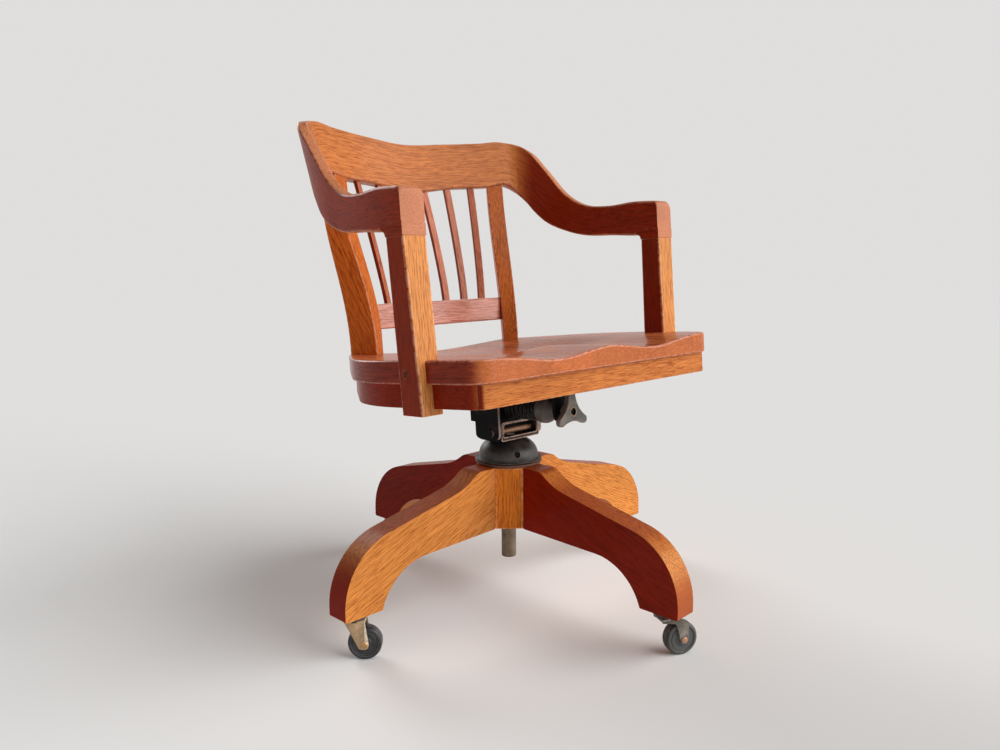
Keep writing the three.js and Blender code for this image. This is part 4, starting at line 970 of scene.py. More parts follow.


# Each oak: a lit front colour and a side colour of painted shade; OAK_BASE also paints that shade on its tops
OAK_SEAT = oak("oak seat", (184, 100, 58), (138, 44, 18), 0.3, 0.24, 0.5, SEAT_JOINTS, SEAT_WAVES,
               ends=(188, 104, 58))
OAK_PLUG = oak("oak plug", (150, 76, 40), (120, 44, 24))
OAK_FRAME = oak("oak frame", (214, 142, 80), (146, 46, 14))
OAK_APRON = oak("oak apron", (198, 120, 62), (146, 40, 14))
OAK_REAR = oak("oak rear", (190, 104, 46), (200, 94, 22), ring_share=0.75)
OAK_SLAT = oak("oak slat", (186, 108, 78), (146, 52, 30), 0.3, 0.25)
# The rail's pale pinkish face colour is partly its own, partly a painted reflection of the bright light on it
OAK_RAIL = oak("oak rail", (200, 138, 120), (150, 64, 38), 0.3, 0.5)
OAK_BOW = oak("oak bow", (192, 116, 62), (156, 48, 12), 0.32, 0.08, 0.25, ends=(198, 128, 94))
OAK_POST = oak("oak post", (226, 134, 46), (240, 134, 38), 0.38)
OAK_BASE = oak("oak base", (220, 142, 70), (146, 34, 10), 0.38, 0.07, 0.6, ends=(170, 88, 48), top_shade_share=0.8)
IRON = iron("graphite iron", (11, 11, 12), (196, 176, 164), 1.0, 0.6, 0.0, rust_share=0.04,
            front_only=True, gloss=0.08)
IRON_EDGE = iron("worn iron", (118, 104, 98), (190, 172, 160), 0.8, 0.5, 0.1)
IRON_CAP = iron("domed iron", (50, 49, 48), (104, 90, 80), 0.6, 0.42, 0.45)
IRON_KNOB = iron("knob iron", (80, 77, 73), (150, 136, 124), 0.8, 0.55, 0.25)
IRON_PLATE = iron("brown plate", (84, 60, 52), (124, 88, 72), 0.6, 0.6, 0.1, gloss=0.15)
IRON_WORN = iron("worn plate", (44, 30, 27), (204, 172, 154), 1.0, 0.5, 0.2, rust_share=0.15)
SPRING_STEEL = iron("spring steel", (16, 15, 15), (50, 36, 32), 0.3, 0.4, 0.4)
PIN_STEEL = iron("pin steel", (150, 112, 86), (96, 66, 50), 0.5, 0.45, 0.2)
SPINDLE_STEEL = iron("spindle steel", (104, 92, 76), (130, 92, 62), 0.6, 0.5, 0.4)
FORK_TAN = iron("tan fork", (160, 134, 102), (240, 226, 200), 1.0, 0.42, 0.2, FORK_FINE_WAVES, 0.25)
FORK_GREY = iron("grey fork", (98, 92, 84), (186, 176, 164), 0.9, 0.42, 0.3, FORK_FINE_WAVES, 0.3)
RIVET = iron("rivet", (164, 124, 80), (250, 230, 190), 0.7, 0.28, 0.6, FORK_FINE_WAVES)
RUBBER = rubber("dark rubber", (34, 35, 37), (44, 44, 46), (96, 96, 96), 0.26)
RUBBER_OLD = rubber("old rubber", (76, 80, 82), (34, 27, 22), (98, 84, 70), 0.42)


# Base
def make_post():
    half = pi / POST_SIDES
    rim = POST_APOTHEM / cos(half)
    corners = [polar(rim, half * (2 * i + 1)) for i in range(POST_SIDES)]
    post = slab("hub_post_wood", corners, POST_BOTTOM, LEG_TOP, along_z, BASE_MATRIX)
    combine(post, turned("bore", rod(POST_BORE, POST_BOTTOM - OVERRUN, LEG_TOP + OVERRUN), along_z))
    eased(post, POST_EDGE)
    set_grain(post, (0, 0, 0), Z_AXIS, (1, 0.3, 0), SEEDS["hub_post"])
    dress(post, "base", OAK_POST, "hub_post")


def make_plate():
    bottom = LEG_TOP + SEAM
    profile = rounded(rod(PLATE_RADIUS, bottom, bottom + PLATE_THICKNESS, PLATE_BORE), PLATE_ROUNDING)
    dress(eased(turned("base_plate_iron", profile, along_z)), "base", IRON_PLATE, "base_plate")


def leg_matrix(leg):
    return BASE_MATRIX @ Matrix.Rotation(LEG_TURNS[leg], 4, "Z")


def make_legs():
    root = POST_APOTHEM + SEAM
    points = outline([(root, LEG_ROOT, 0), *LEG_CORNERS, (root, LEG_TOP, 0)])
    hole = rod(STEM_HOLE, FOOT_HEIGHT - OVERRUN, FOOT_HEIGHT + STEM_LENGTH)
    for index, leg in enumerate(LEG_TURNS):
        matrix = leg_matrix(leg)
        piece = slab("leg_wood_" + leg, points, -LEG_THICKNESS / 2, LEG_THICKNESS / 2, along_y, matrix)
        combine(piece, turned("hole", hole, along_z, matrix @ Matrix.Translation((STEM_REACH, 0, 0))))
        eased(piece, LEG_EDGE, segments=4)
        set_grain(piece, (0, 0, 0), LEG_GRAIN_SHARES, Y_AXIS, SEEDS["leg"] + index, matrix)
        dress(piece, "base", OAK_BASE, "leg_" + leg)


# Casters
def socket_piece(leg, matrix):
    bore = STEM_RADIUS + RUNNING_GAP
    under = FOOT_HEIGHT - SEAM
    flange = rod(FLANGE_RADIUS, under - FLANGE_THICKNESS, under, bore)
    tube = rod(bore + SOCKET_WALL, under, FOOT_HEIGHT + STEM_LENGTH, bore)
    profile = rounded(stacked(flange, tube), SOCKET_ROUNDING)
    piece = turned("socket_steel_" + leg, profile, along_z, matrix, SMALL_SIDES)
    dress(eased(piece), "base", FORK_GREY, "caster_socket_" + leg)


def cheek_points(trail, swept):
    """The side of a fork, from the front of its crown round the tip, straight or swept like a horn."""
    start, end = (-FORK_HALF, FORK_TOP, 0), (FORK_HALF, FORK_TOP, 0)
    if not swept:
        low = WHEEL_RADIUS - TIP_RADIUS
        rounding = TIP_ROUNDING_SHARE * TIP_RADIUS
        front, rear = trail - TIP_FRONT_SHARE * TIP_RADIUS, trail + TIP_RADIUS
        return outline([start, (front, low, rounding), (rear, low, rounding), end])
    front, rear, low = [share * TIP_RADIUS for share in HORN_TIP_SHARES]
    corners = [
        (-FORK_HALF, FORK_TOP - HORN_DROPS[0]),
        (trail * HORN_HOLLOW_SHARE, FORK_TOP - HORN_DROPS[1]),
        (trail - front, WHEEL_RADIUS - low),
        (trail + rear, WHEEL_RADIUS - low),
        (trail + TIP_RADIUS, FORK_TOP - HORN_DROPS[2]),
    ]
    return outline([start, *[(*corner, radius) for corner, radius in zip(corners, HORN_ROUNDINGS)], end])


def fork_piece(leg, trail, matrix, material, swept):
    inner = WHEEL_WIDTH / 2 + WHEEL_BOSS + RUNNING_GAP
    outer = inner + FORK_CHEEK
    crown = rectangle(-FORK_HALF, -outer, FORK_HALF, outer)
    body = slab("fork_steel_" + leg, crown, FORK_TOP - FORK_CROWN, FORK_TOP, along_z, matrix)
    hole = circle(trail, WHEEL_RADIUS, AXLE_RADIUS + SEAM)
    for low in (-outer, inner):
        join(body, slab("cheek", cheek_points(trail, swept), low, low + FORK_CHEEK, along_y, matrix, [hole]))
    cup = rod(FORK_CUP, FORK_TOP - OVERRUN, FOOT_HEIGHT - SEAM - FLANGE_THICKNESS - RUNNING_GAP)
    stem = rod(STEM_RADIUS, FORK_TOP, FOOT_HEIGHT + STEM_LENGTH - SEAM)
    for profile in (cup, stem):
        join(body, turned("stem", profile, along_z, matrix, SMALL_SIDES))
    eased(body, FORK_EDGE, segments=2)
    dress(body, "caster_" + leg, material, "caster_fork_" + leg)
    paint(body, IRON_CAP, lambda face: face.center.z > FORK_TOP * MM)


def axle_piece(leg, matrix, material):
    outer = WHEEL_WIDTH / 2 + WHEEL_BOSS + RUNNING_GAP + FORK_CHEEK + SEAM
    edge, head = outer + AXLE_HEAD_EDGE, outer + AXLE_HEAD_RISE
    half = [(AXLE_RADIUS, outer), (AXLE_HEAD, outer), (AXLE_HEAD, edge), (AXLE_HEAD / 2, head), (0, head)]
    piece = turned("axle_steel_" + leg, rounded(both_ends(half), AXLE_ROUNDING), along_y, matrix, SMALL_SIDES)
    dress(eased(piece), "caster_" + leg, material, "caster_axle_" + leg)


def wheel_piece(leg, matrix, material):
    """A wheel whose tread is flattened where it stands on the floor."""
    half = WHEEL_WIDTH / 2
    side = [(radius, sink - half) for radius, sink in WHEEL_SIDE[::-1]]
    profile = both_ends([*side, (AXLE_RADIUS + RUNNING_GAP, -half - WHEEL_BOSS)])
    piece = turned("wheel_rubber_" + leg, rounded(profile, WHEEL_ROUNDING), along_y, matrix)
    for vertex in piece.data.vertices:
        vertex.co.z = max(vertex.co.z, 0)
    axle = matrix.to_3x3() @ Y_AXIS
    store_ends(eased(piece), [abs(polygon.normal.dot(axle)) for polygon in piece.data.polygons])
    dress(piece, "wheel_" + leg, material, "caster_wheel_" + leg)


def make_casters():
    for leg, (trail, heading) in CASTERS.items():
        stem = leg_matrix(leg) @ Matrix.Translation((STEM_REACH, 0, 0))
        socket_piece(leg, stem)
        x, y, _ = stem.translation
        swivel = Matrix.Translation((x, y, -FLAT_DEPTH)) @ Matrix.Rotation(heading, 4, "Z")
        tan_one = leg == "left"
        fork_piece(leg, trail, swivel, FORK_TAN if tan_one else FORK_GREY, swept=not tan_one)
        wheel_centre = swivel @ Matrix.Translation((trail, 0, WHEEL_RADIUS))
        axle_piece(leg, wheel_centre, RIVET if tan_one else PIN_STEEL)
        wheel_piece(leg, wheel_centre, RUBBER if tan_one else RUBBER_OLD)


# Swivel column
def cap_profile():
    bore = SPINDLE_RADIUS + RUNNING_GAP
    top = CAP_BOTTOM + CAP_HEIGHT
    under = CAP_BOTTOM + CAP_GAP
    brim = CAP_BOTTOM + CAP_BRIM_HEIGHT
    shoulder = brim + CAP_SHOULDER_HEIGHT
    turns = [i / DOME_STEPS * pi / 2 for i in range(DOME_STEPS + 1)]
    dome = [(mix(CAP_NECK, CAP_SHOULDER, cos(a)), mix(shoulder, top, sin(a))) for a in turns]
    return [(bore, CAP_BOTTOM), (CAP_FOOT, CAP_BOTTOM), (CAP_FOOT, under), (CAP_BRIM, under),
            (CAP_BRIM, brim), (CAP_SHOULDER, brim), *dome, (bore, top)]


def make_cap():
    cap = turned("cap_iron", rounded(cap_profile(), CAP_ROUNDING), along_z)
    rise = Matrix.Translation((0, 0, CAP_BOTTOM + SET_SCREW_RISE))
    inner = CAP_SHOULDER - SET_SCREW_SINK - SET_SCREW_LENGTH
    mouth = inner + SET_SCREW_LENGTH - SET_SCREW_MOUTH
    narrow = rod(SET_SCREW_RADIUS + SEAM, inner - SEAM, mouth)
    wide = rod(SET_SCREW_MOUTH, mouth, CAP_BRIM + OVERRUN)
    turn = rise @ Matrix.Rotation(SET_SCREW_TURN - pi / 2, 4, "Z")
    combine(cap, turned("hole", stacked(narrow, wide), along_x, turn, SMALL_SIDES))
    dress(eased(cap), "hub_nut", IRON_CAP, "hub_cap")


def make_spindle():
    profile = rounded(rod(SPINDLE_RADIUS, SPINDLE_BOTTOM, SPINDLE_TOP), SPINDLE_ROUNDING)
    dress(eased(turned("spindle_steel", profile, along_z)), "column", SPINDLE_STEEL, "spindle")


# Tilt iron
def in_seat(y, height):
    """A place of the chair's middle plane as (y, z) in the frame of the seat group."""
    rise = height - SEAT_HEIGHT + SEAT_SETBACK * sin(SEAT_LEAN)
    reach = y - SEAT_SETBACK * cos(SEAT_LEAN)
    return (reach * cos(SEAT_LEAN) - rise * sin(SEAT_LEAN), reach * sin(SEAT_LEAN) + rise * cos(SEAT_LEAN))


def upright_foot():
    return in_seat(UPRIGHT_Y, YOKE_FLOOR + YOKE_FLOOR_THICKNESS / 2)


def make_yoke():
    half = YOKE_HALF + YOKE_WALL / 2
    floor_top = YOKE_FLOOR + YOKE_FLOOR_THICKNESS
    front, rear = YOKE_FRONT + YOKE_ROUNDING, YOKE_REAR - YOKE_ROUNDING
    yoke = box("yoke_iron", (-half, front, YOKE_FLOOR), (half, rear, floor_top))
    side = rectangle(YOKE_FRONT, YOKE_FLOOR, YOKE_REAR, YOKE_TOP, YOKE_ROUNDING)
    for low in (-YOKE_HALF - YOKE_WALL, YOKE_HALF):
        join(yoke, slab("wall", side, low, low + YOKE_WALL, along_x))
    join(yoke, turned("neck", rod(YOKE_NECK_RADIUS, YOKE_NECK, floor_top), along_z))
    y, bottom = upright_foot()
    upright = rectangle(-UPRIGHT_HALF, bottom, UPRIGHT_HALF, -UPRIGHT_DROP)
    join(yoke, slab("upright", upright, y, y + UPRIGHT_THICKNESS, along_y, SEAT_MATRIX))
    spindle_hole = rod(SPINDLE_RADIUS + SEAM, YOKE_NECK - OVERRUN, floor_top + OVERRUN)
    combine(yoke, turned("hole", spindle_hole, along_z))
    pin_hole = rod(PIN_RADIUS + SEAM, -EAR_SPREAD, EAR_SPREAD)
    combine(yoke, turned("hole", pin_hole, along_x, PIN_MATRIX, SMALL_SIDES))
    dress(eased(yoke, CASTING_EDGE, segments=2), "column", IRON, "tilt_yoke")


def window_rim(low_x, low_z, high_x, high_z, grow=0):
    return rectangle(low_x - grow, low_z - grow, high_x + grow, high_z + grow, WINDOW_ROUNDING)


def make_window_plate():
    back = YOKE_FRONT - SEAM
    face = back - WINDOW_PLATE_THICKNESS
    rim, window = window_rim(*WINDOW_PLATE), window_rim(*WINDOW)
    plate = slab("window_plate_iron", rim, face, back, along_y, holes=[window])
    lips = [(rim, window_rim(*WINDOW_PLATE, -WINDOW_LIP)), (window_rim(*WINDOW, WINDOW_LIP), window)]
    for outer, inner in lips:
        join(plate, slab("lip", outer, face - WINDOW_LIP_RISE, face + SEAM, along_y, holes=[inner]))
    dress(eased(plate, WINDOW_EDGE, segments=2), "column", IRON_WORN, "window_plate")


def make_pin():
    half = EAR_SPREAD + SEAM
    head = rod(PIN_HEAD, half, half + PIN_HEAD_THICKNESS)
    profile = rounded(both_ends([(PIN_RADIUS, half), *head[1:]]), PIN_ROUNDING)
    piece = turned("pin_steel", profile, along_x, PIN_MATRIX, SMALL_SIDES)
    dress(eased(piece), "column", PIN_STEEL, "pivot_pin")
    paint(piece, IRON, lambda face: abs(face.center.x) > YOKE_HALF * MM)


def make_seat_iron():
    low, high = -SEAM - IRON_TOP, -SEAM
    plate = box("seat_iron_cast", (-EAR_SPREAD, IRON_FRONT, low), (EAR_SPREAD, IRON_REAR, high), SEAT_MATRIX)
    for y in (IRON_FRONT, IRON_REAR - IRON_LUG):
        join(plate, box("lug", (-IRON_LUG_HALF, y, low), (IRON_LUG_HALF, y + IRON_LUG, high), SEAT_MATRIX))
    pin_hole = circle(*in_seat(PIN_Y, PIN_HEIGHT), PIN_RADIUS + RUNNING_GAP)
    for x in (-EAR_SPREAD, EAR_SPREAD - EAR_THICKNESS):
        join(plate, slab("ear", outline(EAR_CORNERS), x, x + EAR_THICKNESS, along_x, SEAT_MATRIX, [pin_hole]))
    bottom = -BOLT_DROP - WALL_HALF
    corners = [(-WALL_HALF, bottom, WALL_ROUNDING), (WALL_HALF, bottom, WALL_ROUNDING),
               (WALL_HALF, -SEAM, 0), (-WALL_HALF, -SEAM, 0)]
    bolt_hole = circle(0, -BOLT_DROP, BOLT_RADIUS + RUNNING_GAP)
    rear = WALL_Y + WALL_THICKNESS
    join(plate, slab("wall", outline(corners), WALL_Y, rear, along_y, SEAT_MATRIX, [bolt_hole]))
    dress(eased(plate, CASTING_EDGE, segments=2), "seat", IRON, "seat_iron")
    inner, outer = (EAR_SPREAD - EAR_THICKNESS) * MM, EAR_SPREAD * MM

    def on_ear_front(face):
        return inner < abs(face.center.x) < outer and face.normal.y < EAR_FRONT_SHARE

    paint(plate, IRON_EDGE, on_ear_front)


def knob_points():
    """Round lobes, joined by hollow curves that pass the waist."""
    points = []
    centre = KNOB_REACH - KNOB_LOBE
    third = 2 * pi / KNOB_LOBES
    for lobe in range(KNOB_LOBES):
        along = pi / 2 + lobe * third
        for k in range(KNOB_STEPS + 1):
            angle = along + mix(-KNOB_LOBE_TURN, KNOB_LOBE_TURN, k / KNOB_STEPS)
            points.append(polar(centre, along) + polar(KNOB_LOBE, angle))
        start = points[-1]
        ahead = along + third
        end = polar(centre, ahead) + polar(KNOB_LOBE, ahead - KNOB_LOBE_TURN)
        pull = polar(KNOB_WAIST, along + third / 2) * 2 - (start + end) / 2
        points += [curve(start, pull, end, k / KNOB_STEPS) for k in range(1, KNOB_STEPS)]
    return points


def make_knob():
    back = KNOB_FACE + KNOB_THICKNESS
    knob = slab("knob_iron", knob_points(), KNOB_FACE, back, along_y, BOLT_MATRIX)
    low, high = back - KNOB_HUB_SINK, back + KNOB_HUB_RISE
    hub = [(0, low), (KNOB_HUB, low), (KNOB_HUB - KNOB_HUB_TAPER, high), (0, high)]
    join(knob, turned("hub", hub, along_y, BOLT_MATRIX))
    eased(knob, KNOB_EDGE, segments=4)
    hole = rod(BOLT_RING + SEAM, KNOB_FACE - OVERRUN, BOLT_END + SEAM)
    combine(knob, turned("hole", hole, along_y, BOLT_MATRIX, SMALL_SIDES))
    dress(eased(knob), "knob", IRON_KNOB, "tension_knob")


def make_bolt():
    neck = CUP_NECK_Y - SEAM
    collar = neck - COLLAR_LENGTH
    ring = KNOB_FACE - BOLT_RING_RISE
    profile = [
        (0, BOLT_END), (BOLT_HOLLOW, BOLT_END), (BOLT_HOLLOW, ring), (BOLT_RING, ring), (BOLT_RING, BOLT_END),
        (BOLT_RADIUS, BOLT_END), (BOLT_RADIUS, collar), (COLLAR_RADIUS, collar), (COLLAR_RADIUS, neck),
        (BOLT_RADIUS, neck), (BOLT_RADIUS, BOLT_TAIL), (0, BOLT_TAIL),
    ]
    piece = turned("bolt_steel", rounded(profile, BOLT_ROUNDING), along_y, BOLT_MATRIX, SMALL_SIDES)
    dress(eased(piece), "knob", SPINDLE_STEEL, "tension_bolt")
    to_bolt = BOLT_MATRIX.inverted()

    def in_hollow(face):
        spot = to_bolt @ (face.center / MM)
        return spot.y < BOLT_END + SEAM and spot.xz.length < BOLT_HOLLOW + SEAM

    # The bolt end's hollow takes the black iron: painted shade in the hollow
    paint(piece, IRON, in_hollow)


def make_cup():
    shares = [i / BELL_STEPS for i in range(BELL_STEPS + 1)]
    lip = CUP_RIM_Y - CUP_LIP
    bell = [(mix(CUP_NECK, CUP_RIM, smooth(s, 0, BELL_SHARE)), mix(CUP_NECK_Y, lip, s)) for s in shares]
    bore = BOLT_RADIUS + RUNNING_GAP
    inner = CUP_RIM - CUP_LIP
    profile = [(bore, CUP_NECK_Y), *bell, (CUP_RIM, CUP_RIM_Y), (inner, CUP_RIM_Y), (inner, CUP_FLOOR_Y),
               (bore, CUP_FLOOR_Y)]
    piece = turned("cup_iron", rounded(profile, CUP_ROUNDING), along_y, BOLT_MATRIX)
    dress(eased(piece), "seat", IRON_KNOB, "spring_cup")


def spring_path(low, high):
    """The middle of the wire, with the first and the last turn closed."""
    coil = SPRING_RADIUS - SPRING_WIRE
    closed_rise = 2 * SPRING_WIRE + HEAD_GAP
    open_rise = (high - low - 2 * SPRING_WIRE - 2 * closed_rise) / (SPRING_TURNS - 2)
    path = []
    y = low + SPRING_WIRE
    for i in range(SPRING_TURNS * SPRING_STEPS + 1):
        turn = i / SPRING_STEPS
        path.append(Vector((coil * cos(turn * 2 * pi), y, coil * sin(turn * 2 * pi))))
        y += (open_rise if 1 <= turn < SPRING_TURNS - 1 else closed_rise) / SPRING_STEPS
    return path


def make_spring():
    low = CUP_FLOOR_Y + SEAM
    high = upright_foot()[0] - SEAM
    path = spring_path(low, high)
    rings = []
    for i, point in enumerate(path):
        along = (path[min(i + 1, len(path) - 1)] - path[max(i - 1, 0)]).normalized()
        out = Vector((point.x, 0, point.z))
        out = (out - along * out.dot(along)).normalized()
        across = along.cross(out)
        turns = turns_of(SPRING_SIDES)
        rings.append([point + out * SPRING_WIRE * cos(a) + across * SPRING_WIRE * sin(a) for a in turns])
    spring = eased(loft("spring_wire", rings, BOLT_MATRIX))
    spring.data.materials.append(SPRING_STEEL)
    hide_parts("tension_spring")
    start, end = [BOLT_MATRIX @ Vector((0, y, 0)) * MM for y in (high, low)]
    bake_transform(spring, "column", "seat", start=start, end=end)


# Seat
def wooden(obj, heart, along, up, seed, material, node):
    """Grain, body and material of a wooden piece of the seat group."""
    set_grain(obj, heart, along, up, seed, SEAT_MATRIX)
    dress(obj, "seat", material, node)


def seat_corners(distance=0):
    left = [(-x, y, radius) for x, y, radius in SEAT_HALF_CORNERS][::-1]
    return inset([*SEAT_HALF_CORNERS, (0, SEAT_REAR, SEAT_REAR_BULGE), *left], distance)


def hill(distance, width):
    return exp(-((distance / width) ** 2))


def seat_top(x, y):
    """The height of the seat with its two thigh hollows and the dish behind them."""
    thigh = THIGH_DEPTH * hill(abs(x) - THIGH_X, THIGH_WIDTH)
    dish = (DISH_DEPTH - DISH_REAR_RISE * smooth(y, *DISH_REAR)) * hill(x, DISH_WIDTH)
    return SEAT_THICKNESS - thigh * (1 - smooth(y, *THIGH_FADE)) - dish * smooth(y, *DISH_START)


def make_seat_board():
    points = divided(outline(seat_corners()), SEAT_STEP)
    rings = []

    def edge_ring(distance, height):
        moved = [p * ((p.length - distance) / p.length) for p in points]
        rings.append([(p.x, p.y, height(p.x, p.y)) for p in moved])

    for k in range(SEAT_LOWER_STEPS + 1):
        angle = k / SEAT_LOWER_STEPS * pi / 2
        rise = SEAT_LOWER_EDGE * (1 - cos(angle))
        edge_ring(SEAT_LOWER_EDGE * (1 - sin(angle)), lambda x, y: rise)
    for k in range(SEAT_EDGE_STEPS + 1):
        angle = k / SEAT_EDGE_STEPS * pi / 2
        drop = SEAT_EDGE * (1 - sin(angle))
        edge_ring(SEAT_EDGE * (1 - cos(angle)), lambda x, y: seat_top(x, y) - drop)
    for k in range(1, SEAT_LEVELS):
        share = 1 - k / SEAT_LEVELS
        spots = [(p.x * share * SEAT_CROWN_SHARE, p.y * share * SEAT_CROWN_SHARE) for p in points]
        rings.append([(x, y, seat_top(x, y)) for x, y in spots])
    board = loft("seat_wood", rings, SEAT_MATRIX)
    combine(board, *[arm_post_solid(side, SEAM) for side in SIDES.values()])
    wooden(eased(board), SEAT_HEART, Y_AXIS, Z_AXIS, SEEDS["seat"], OAK_SEAT, "seat_board")


def apron(piece, heart, along, up, seed, name):
    wooden(eased(piece, APRON_EDGE), heart, along, up, seed, OAK_APRON, "apron_" + name)


def apron_band(name):
    outer = divided(outline(seat_corners(APRON_INSET)), APRON_STEP)
    inner = outline(seat_corners(APRON_INSET + APRON_SIDE))
    return slab(name, outer, -APRON_DEPTH, -SEAM, along_z, SEAT_MATRIX, [inner])


def apron_cutter(points):
    return slab("cutter", points, -APRON_DEPTH - OVERRUN, OVERRUN, along_z, SEAT_MATRIX)


def make_aprons():
    half, front, inner = APRON_FRONT_HALF, -APRON_FRONT_Y, -APRON_FRONT_Y + APRON_FRONT_THICKNESS
    corners = [(-half, front, APRON_ROUNDING), (half, front, APRON_ROUNDING),
               (half, inner, 0), (-half, inner, 0)]
    board = slab("apron_wood_front", outline(corners), -APRON_DEPTH, -SEAM, along_z, SEAT_MATRIX)
    apron(board, (0, 0, 0), X_AXIS, Y_AXIS, SEEDS["apron_front"], "front")
    far = BEYOND_SEAT
    room = rectangle(-half - SEAM, -far, half + SEAM, inner + SEAM)
    area = [(APRON_SIDE_FROM, -far), (far, -far), (far, APRON_BACK_CUT), (APRON_CORNER_FROM, APRON_BACK_CUT),
            (APRON_CORNER_FROM, 0), (APRON_SIDE_FROM, 0)]
    for name, side in SIDES.items():
        band = apron_band("apron_wood_" + name)
        # On the right the mirrored points are taken backwards, so that they still run counter-clockwise
        points = [(side * x, y) for x, y in area][::side]
        combine(band, apron_cutter(points), operation="INTERSECT")
        combine(band, apron_cutter(room), arm_post_solid(side, SEAM))
        heart = (side * APRON_SIDE_HEART, 0, 0)
        apron(band, heart, (side * 0.1, -1, 0), (1, 0, 0.2), SEEDS["apron_side"] + side, name)
    rear = apron_band("apron_wood_back")
    area = rectangle(-far, APRON_BACK_CUT + SEAM, far, far)
    combine(rear, apron_cutter(area), operation="INTERSECT")
    apron(rear, APRON_BACK_HEART, X_AXIS, Y_AXIS, SEEDS["apron_back"], "back")


# Bow
def bow_plan(distance):
    """Place and heading of the bow's middle line at a distance from the middle of the crest."""
    runs = [(CREST_RADIUS, CREST_TURN), (CORNER_RADIUS, CORNER_TURN), (ARM_RUN / ARM_TURN, ARM_TURN)]
    x, y, heading, left = 0.0, BOW_REAR, 0.0, distance
    for i, (radius, turn) in enumerate(runs):
        angle = left / radius if i == len(runs) - 1 else min(left / radius, turn)
        x += radius * (sin(heading + angle) - sin(heading))
        y -= radius * (cos(heading) - cos(heading + angle))
        heading += angle
        left -= angle * radius
    return x, y, heading


def along_bow(table, share):
    """A smooth curve through the values that the table gives at the stations."""
    last = len(STATION_SHARES) - 1
    i = min(max(k for k, s in enumerate(STATION_SHARES) if s <= share), last - 1)
    gap = STATION_SHARES[i + 1] - STATION_SHARES[i]

    def slope(k):
        if k == 0:
            return 0
        b = min(k + 1, last)
        return gap * (table[b] - table[k - 1]) / (STATION_SHARES[b] - STATION_SHARES[k - 1])

    t = (share - STATION_SHARES[i]) / gap
    rise = table[i + 1] - table[i]
    bend = 3 * rise - 2 * slope(i) - slope(i + 1)
    twist = slope(i) + slope(i + 1) - 2 * rise
    return table[i] + t * (slope(i) + t * (bend + t * twist))


def bow_section(share):
    lean = BOW_LEAN * (1 - smooth(share, *LEAN_FADE_SHARES))
    swell = smooth(share, *ARM_SWELL_SHARES)
    thin = smooth(share, *CREST_THIN_SHARES)
    top_thickness = mix(CREST_TOP_THICKNESS, ARM_THICKNESS, swell)
    bottom_thickness = mix(mix(CREST_BOTTOM_THICKNESS, CREST_TOP_THICKNESS, thin), ARM_THICKNESS, swell)
    inner = -top_thickness / 2
    return {
        "top": BOW_PEAK * along_bow(TOP_SHARES, share),
        "bottom": BOW_PEAK * along_bow(BOTTOM_SHARES, share),
        "inner_top": inner + lean / 2,
        "outer_top": inner + top_thickness + lean / 2,
        "inner_bottom": inner - lean / 2,
        "outer_bottom": inner + bottom_thickness - lean / 2,
        "rounding": mix(CREST_ROUNDING, ARM_ROUNDING, swell),
    }


def bow_ring(distance, lowered=0, side=1):
    s = bow_section(min(abs(distance) / BOW_HALF, 1))
    x, y, heading = bow_plan(abs(distance))
    sign = -1 if distance < 0 else 1
    points = outline([
        (s["inner_bottom"], s["bottom"], s["rounding"]),
        (s["outer_bottom"], s["bottom"], s["rounding"]),
        (s["outer_top"], s["top"] - lowered, s["rounding"]),
        (s["inner_top"], s["top"] - lowered, s["rounding"]),
    ], ROUND_STEPS)
    return [(side * sign * (x + p.x * sin(heading)), y + p.x * cos(heading), p.y) for p in points]


def crest_underside(x, y):
    distance = CREST_RADIUS * math.atan2(abs(x), y - BOW_REAR + CREST_RADIUS)
    return bow_section(distance / BOW_HALF)["bottom"]


def bow_piece(name, rings, seed, node, *others):
    piece = loft(name, rings, SEAT_MATRIX)
    join(piece, *others)
    set_bow_grain(eased(piece), seed)
    dress(piece, "seat", OAK_BOW, node)


def arm_inner():
    return bow_plan(BOW_HALF)[0] - ARM_THICKNESS / 2


def arm_tongue(side):
    """The short leg under the arm's end that meets the arm post, with a round knee behind it."""
    underside = BOW_PEAK * along_bow(BOTTOM_SHARES, 1 - (POST_SEAM_DEPTH + ARM_KNEE) / BOW_HALF)
    front, rear = -POST_SEAM_FRONT, -POST_SEAM_FRONT + POST_SEAM_DEPTH
    foot, top = POST_SEAM_HEIGHT + SEAM, underside + ARM_ROUNDING
    knee = outline([
        (front, foot, 0), (rear, foot, 0), (rear, underside, ARM_KNEE - SEAM),
        (rear + ARM_KNEE, underside, 0), (rear + ARM_KNEE, top, 0), (front, top, 0),
    ])
    low, high = sorted((side * arm_inner(), side * (arm_inner() + ARM_THICKNESS)))
    return eased(slab("tongue", knee, low, high, along_x, SEAT_MATRIX), POST_ROUNDING)


def make_bow():
    joint = CREST_JOINT_SHARE * BOW_HALF - SEAM / 2
    shoulder = BOW_HALF - ARM_NOSE
    rings = [bow_ring(mix(-joint, joint, i / (CREST_RINGS - 1))) for i in range(CREST_RINGS)]
    bow_piece("crest_wood", rings, SEEDS["crest"], "crest_rail")
    for name, side in SIDES.items():
        rings = [bow_ring(mix(joint, shoulder, i / (ARM_RINGS - 1)), 0, side) for i in range(ARM_RINGS)]
        for k in range(1, NOSE_RINGS + 1):
            angle = k / NOSE_RINGS * pi / 2
            rings.append(bow_ring(shoulder + ARM_NOSE * sin(angle), ARM_NOSE * (1 - cos(angle)), side))
        bow_piece("arm_wood_" + name, rings, SEEDS["arm"] + side, "arm_" + name, arm_tongue(side))


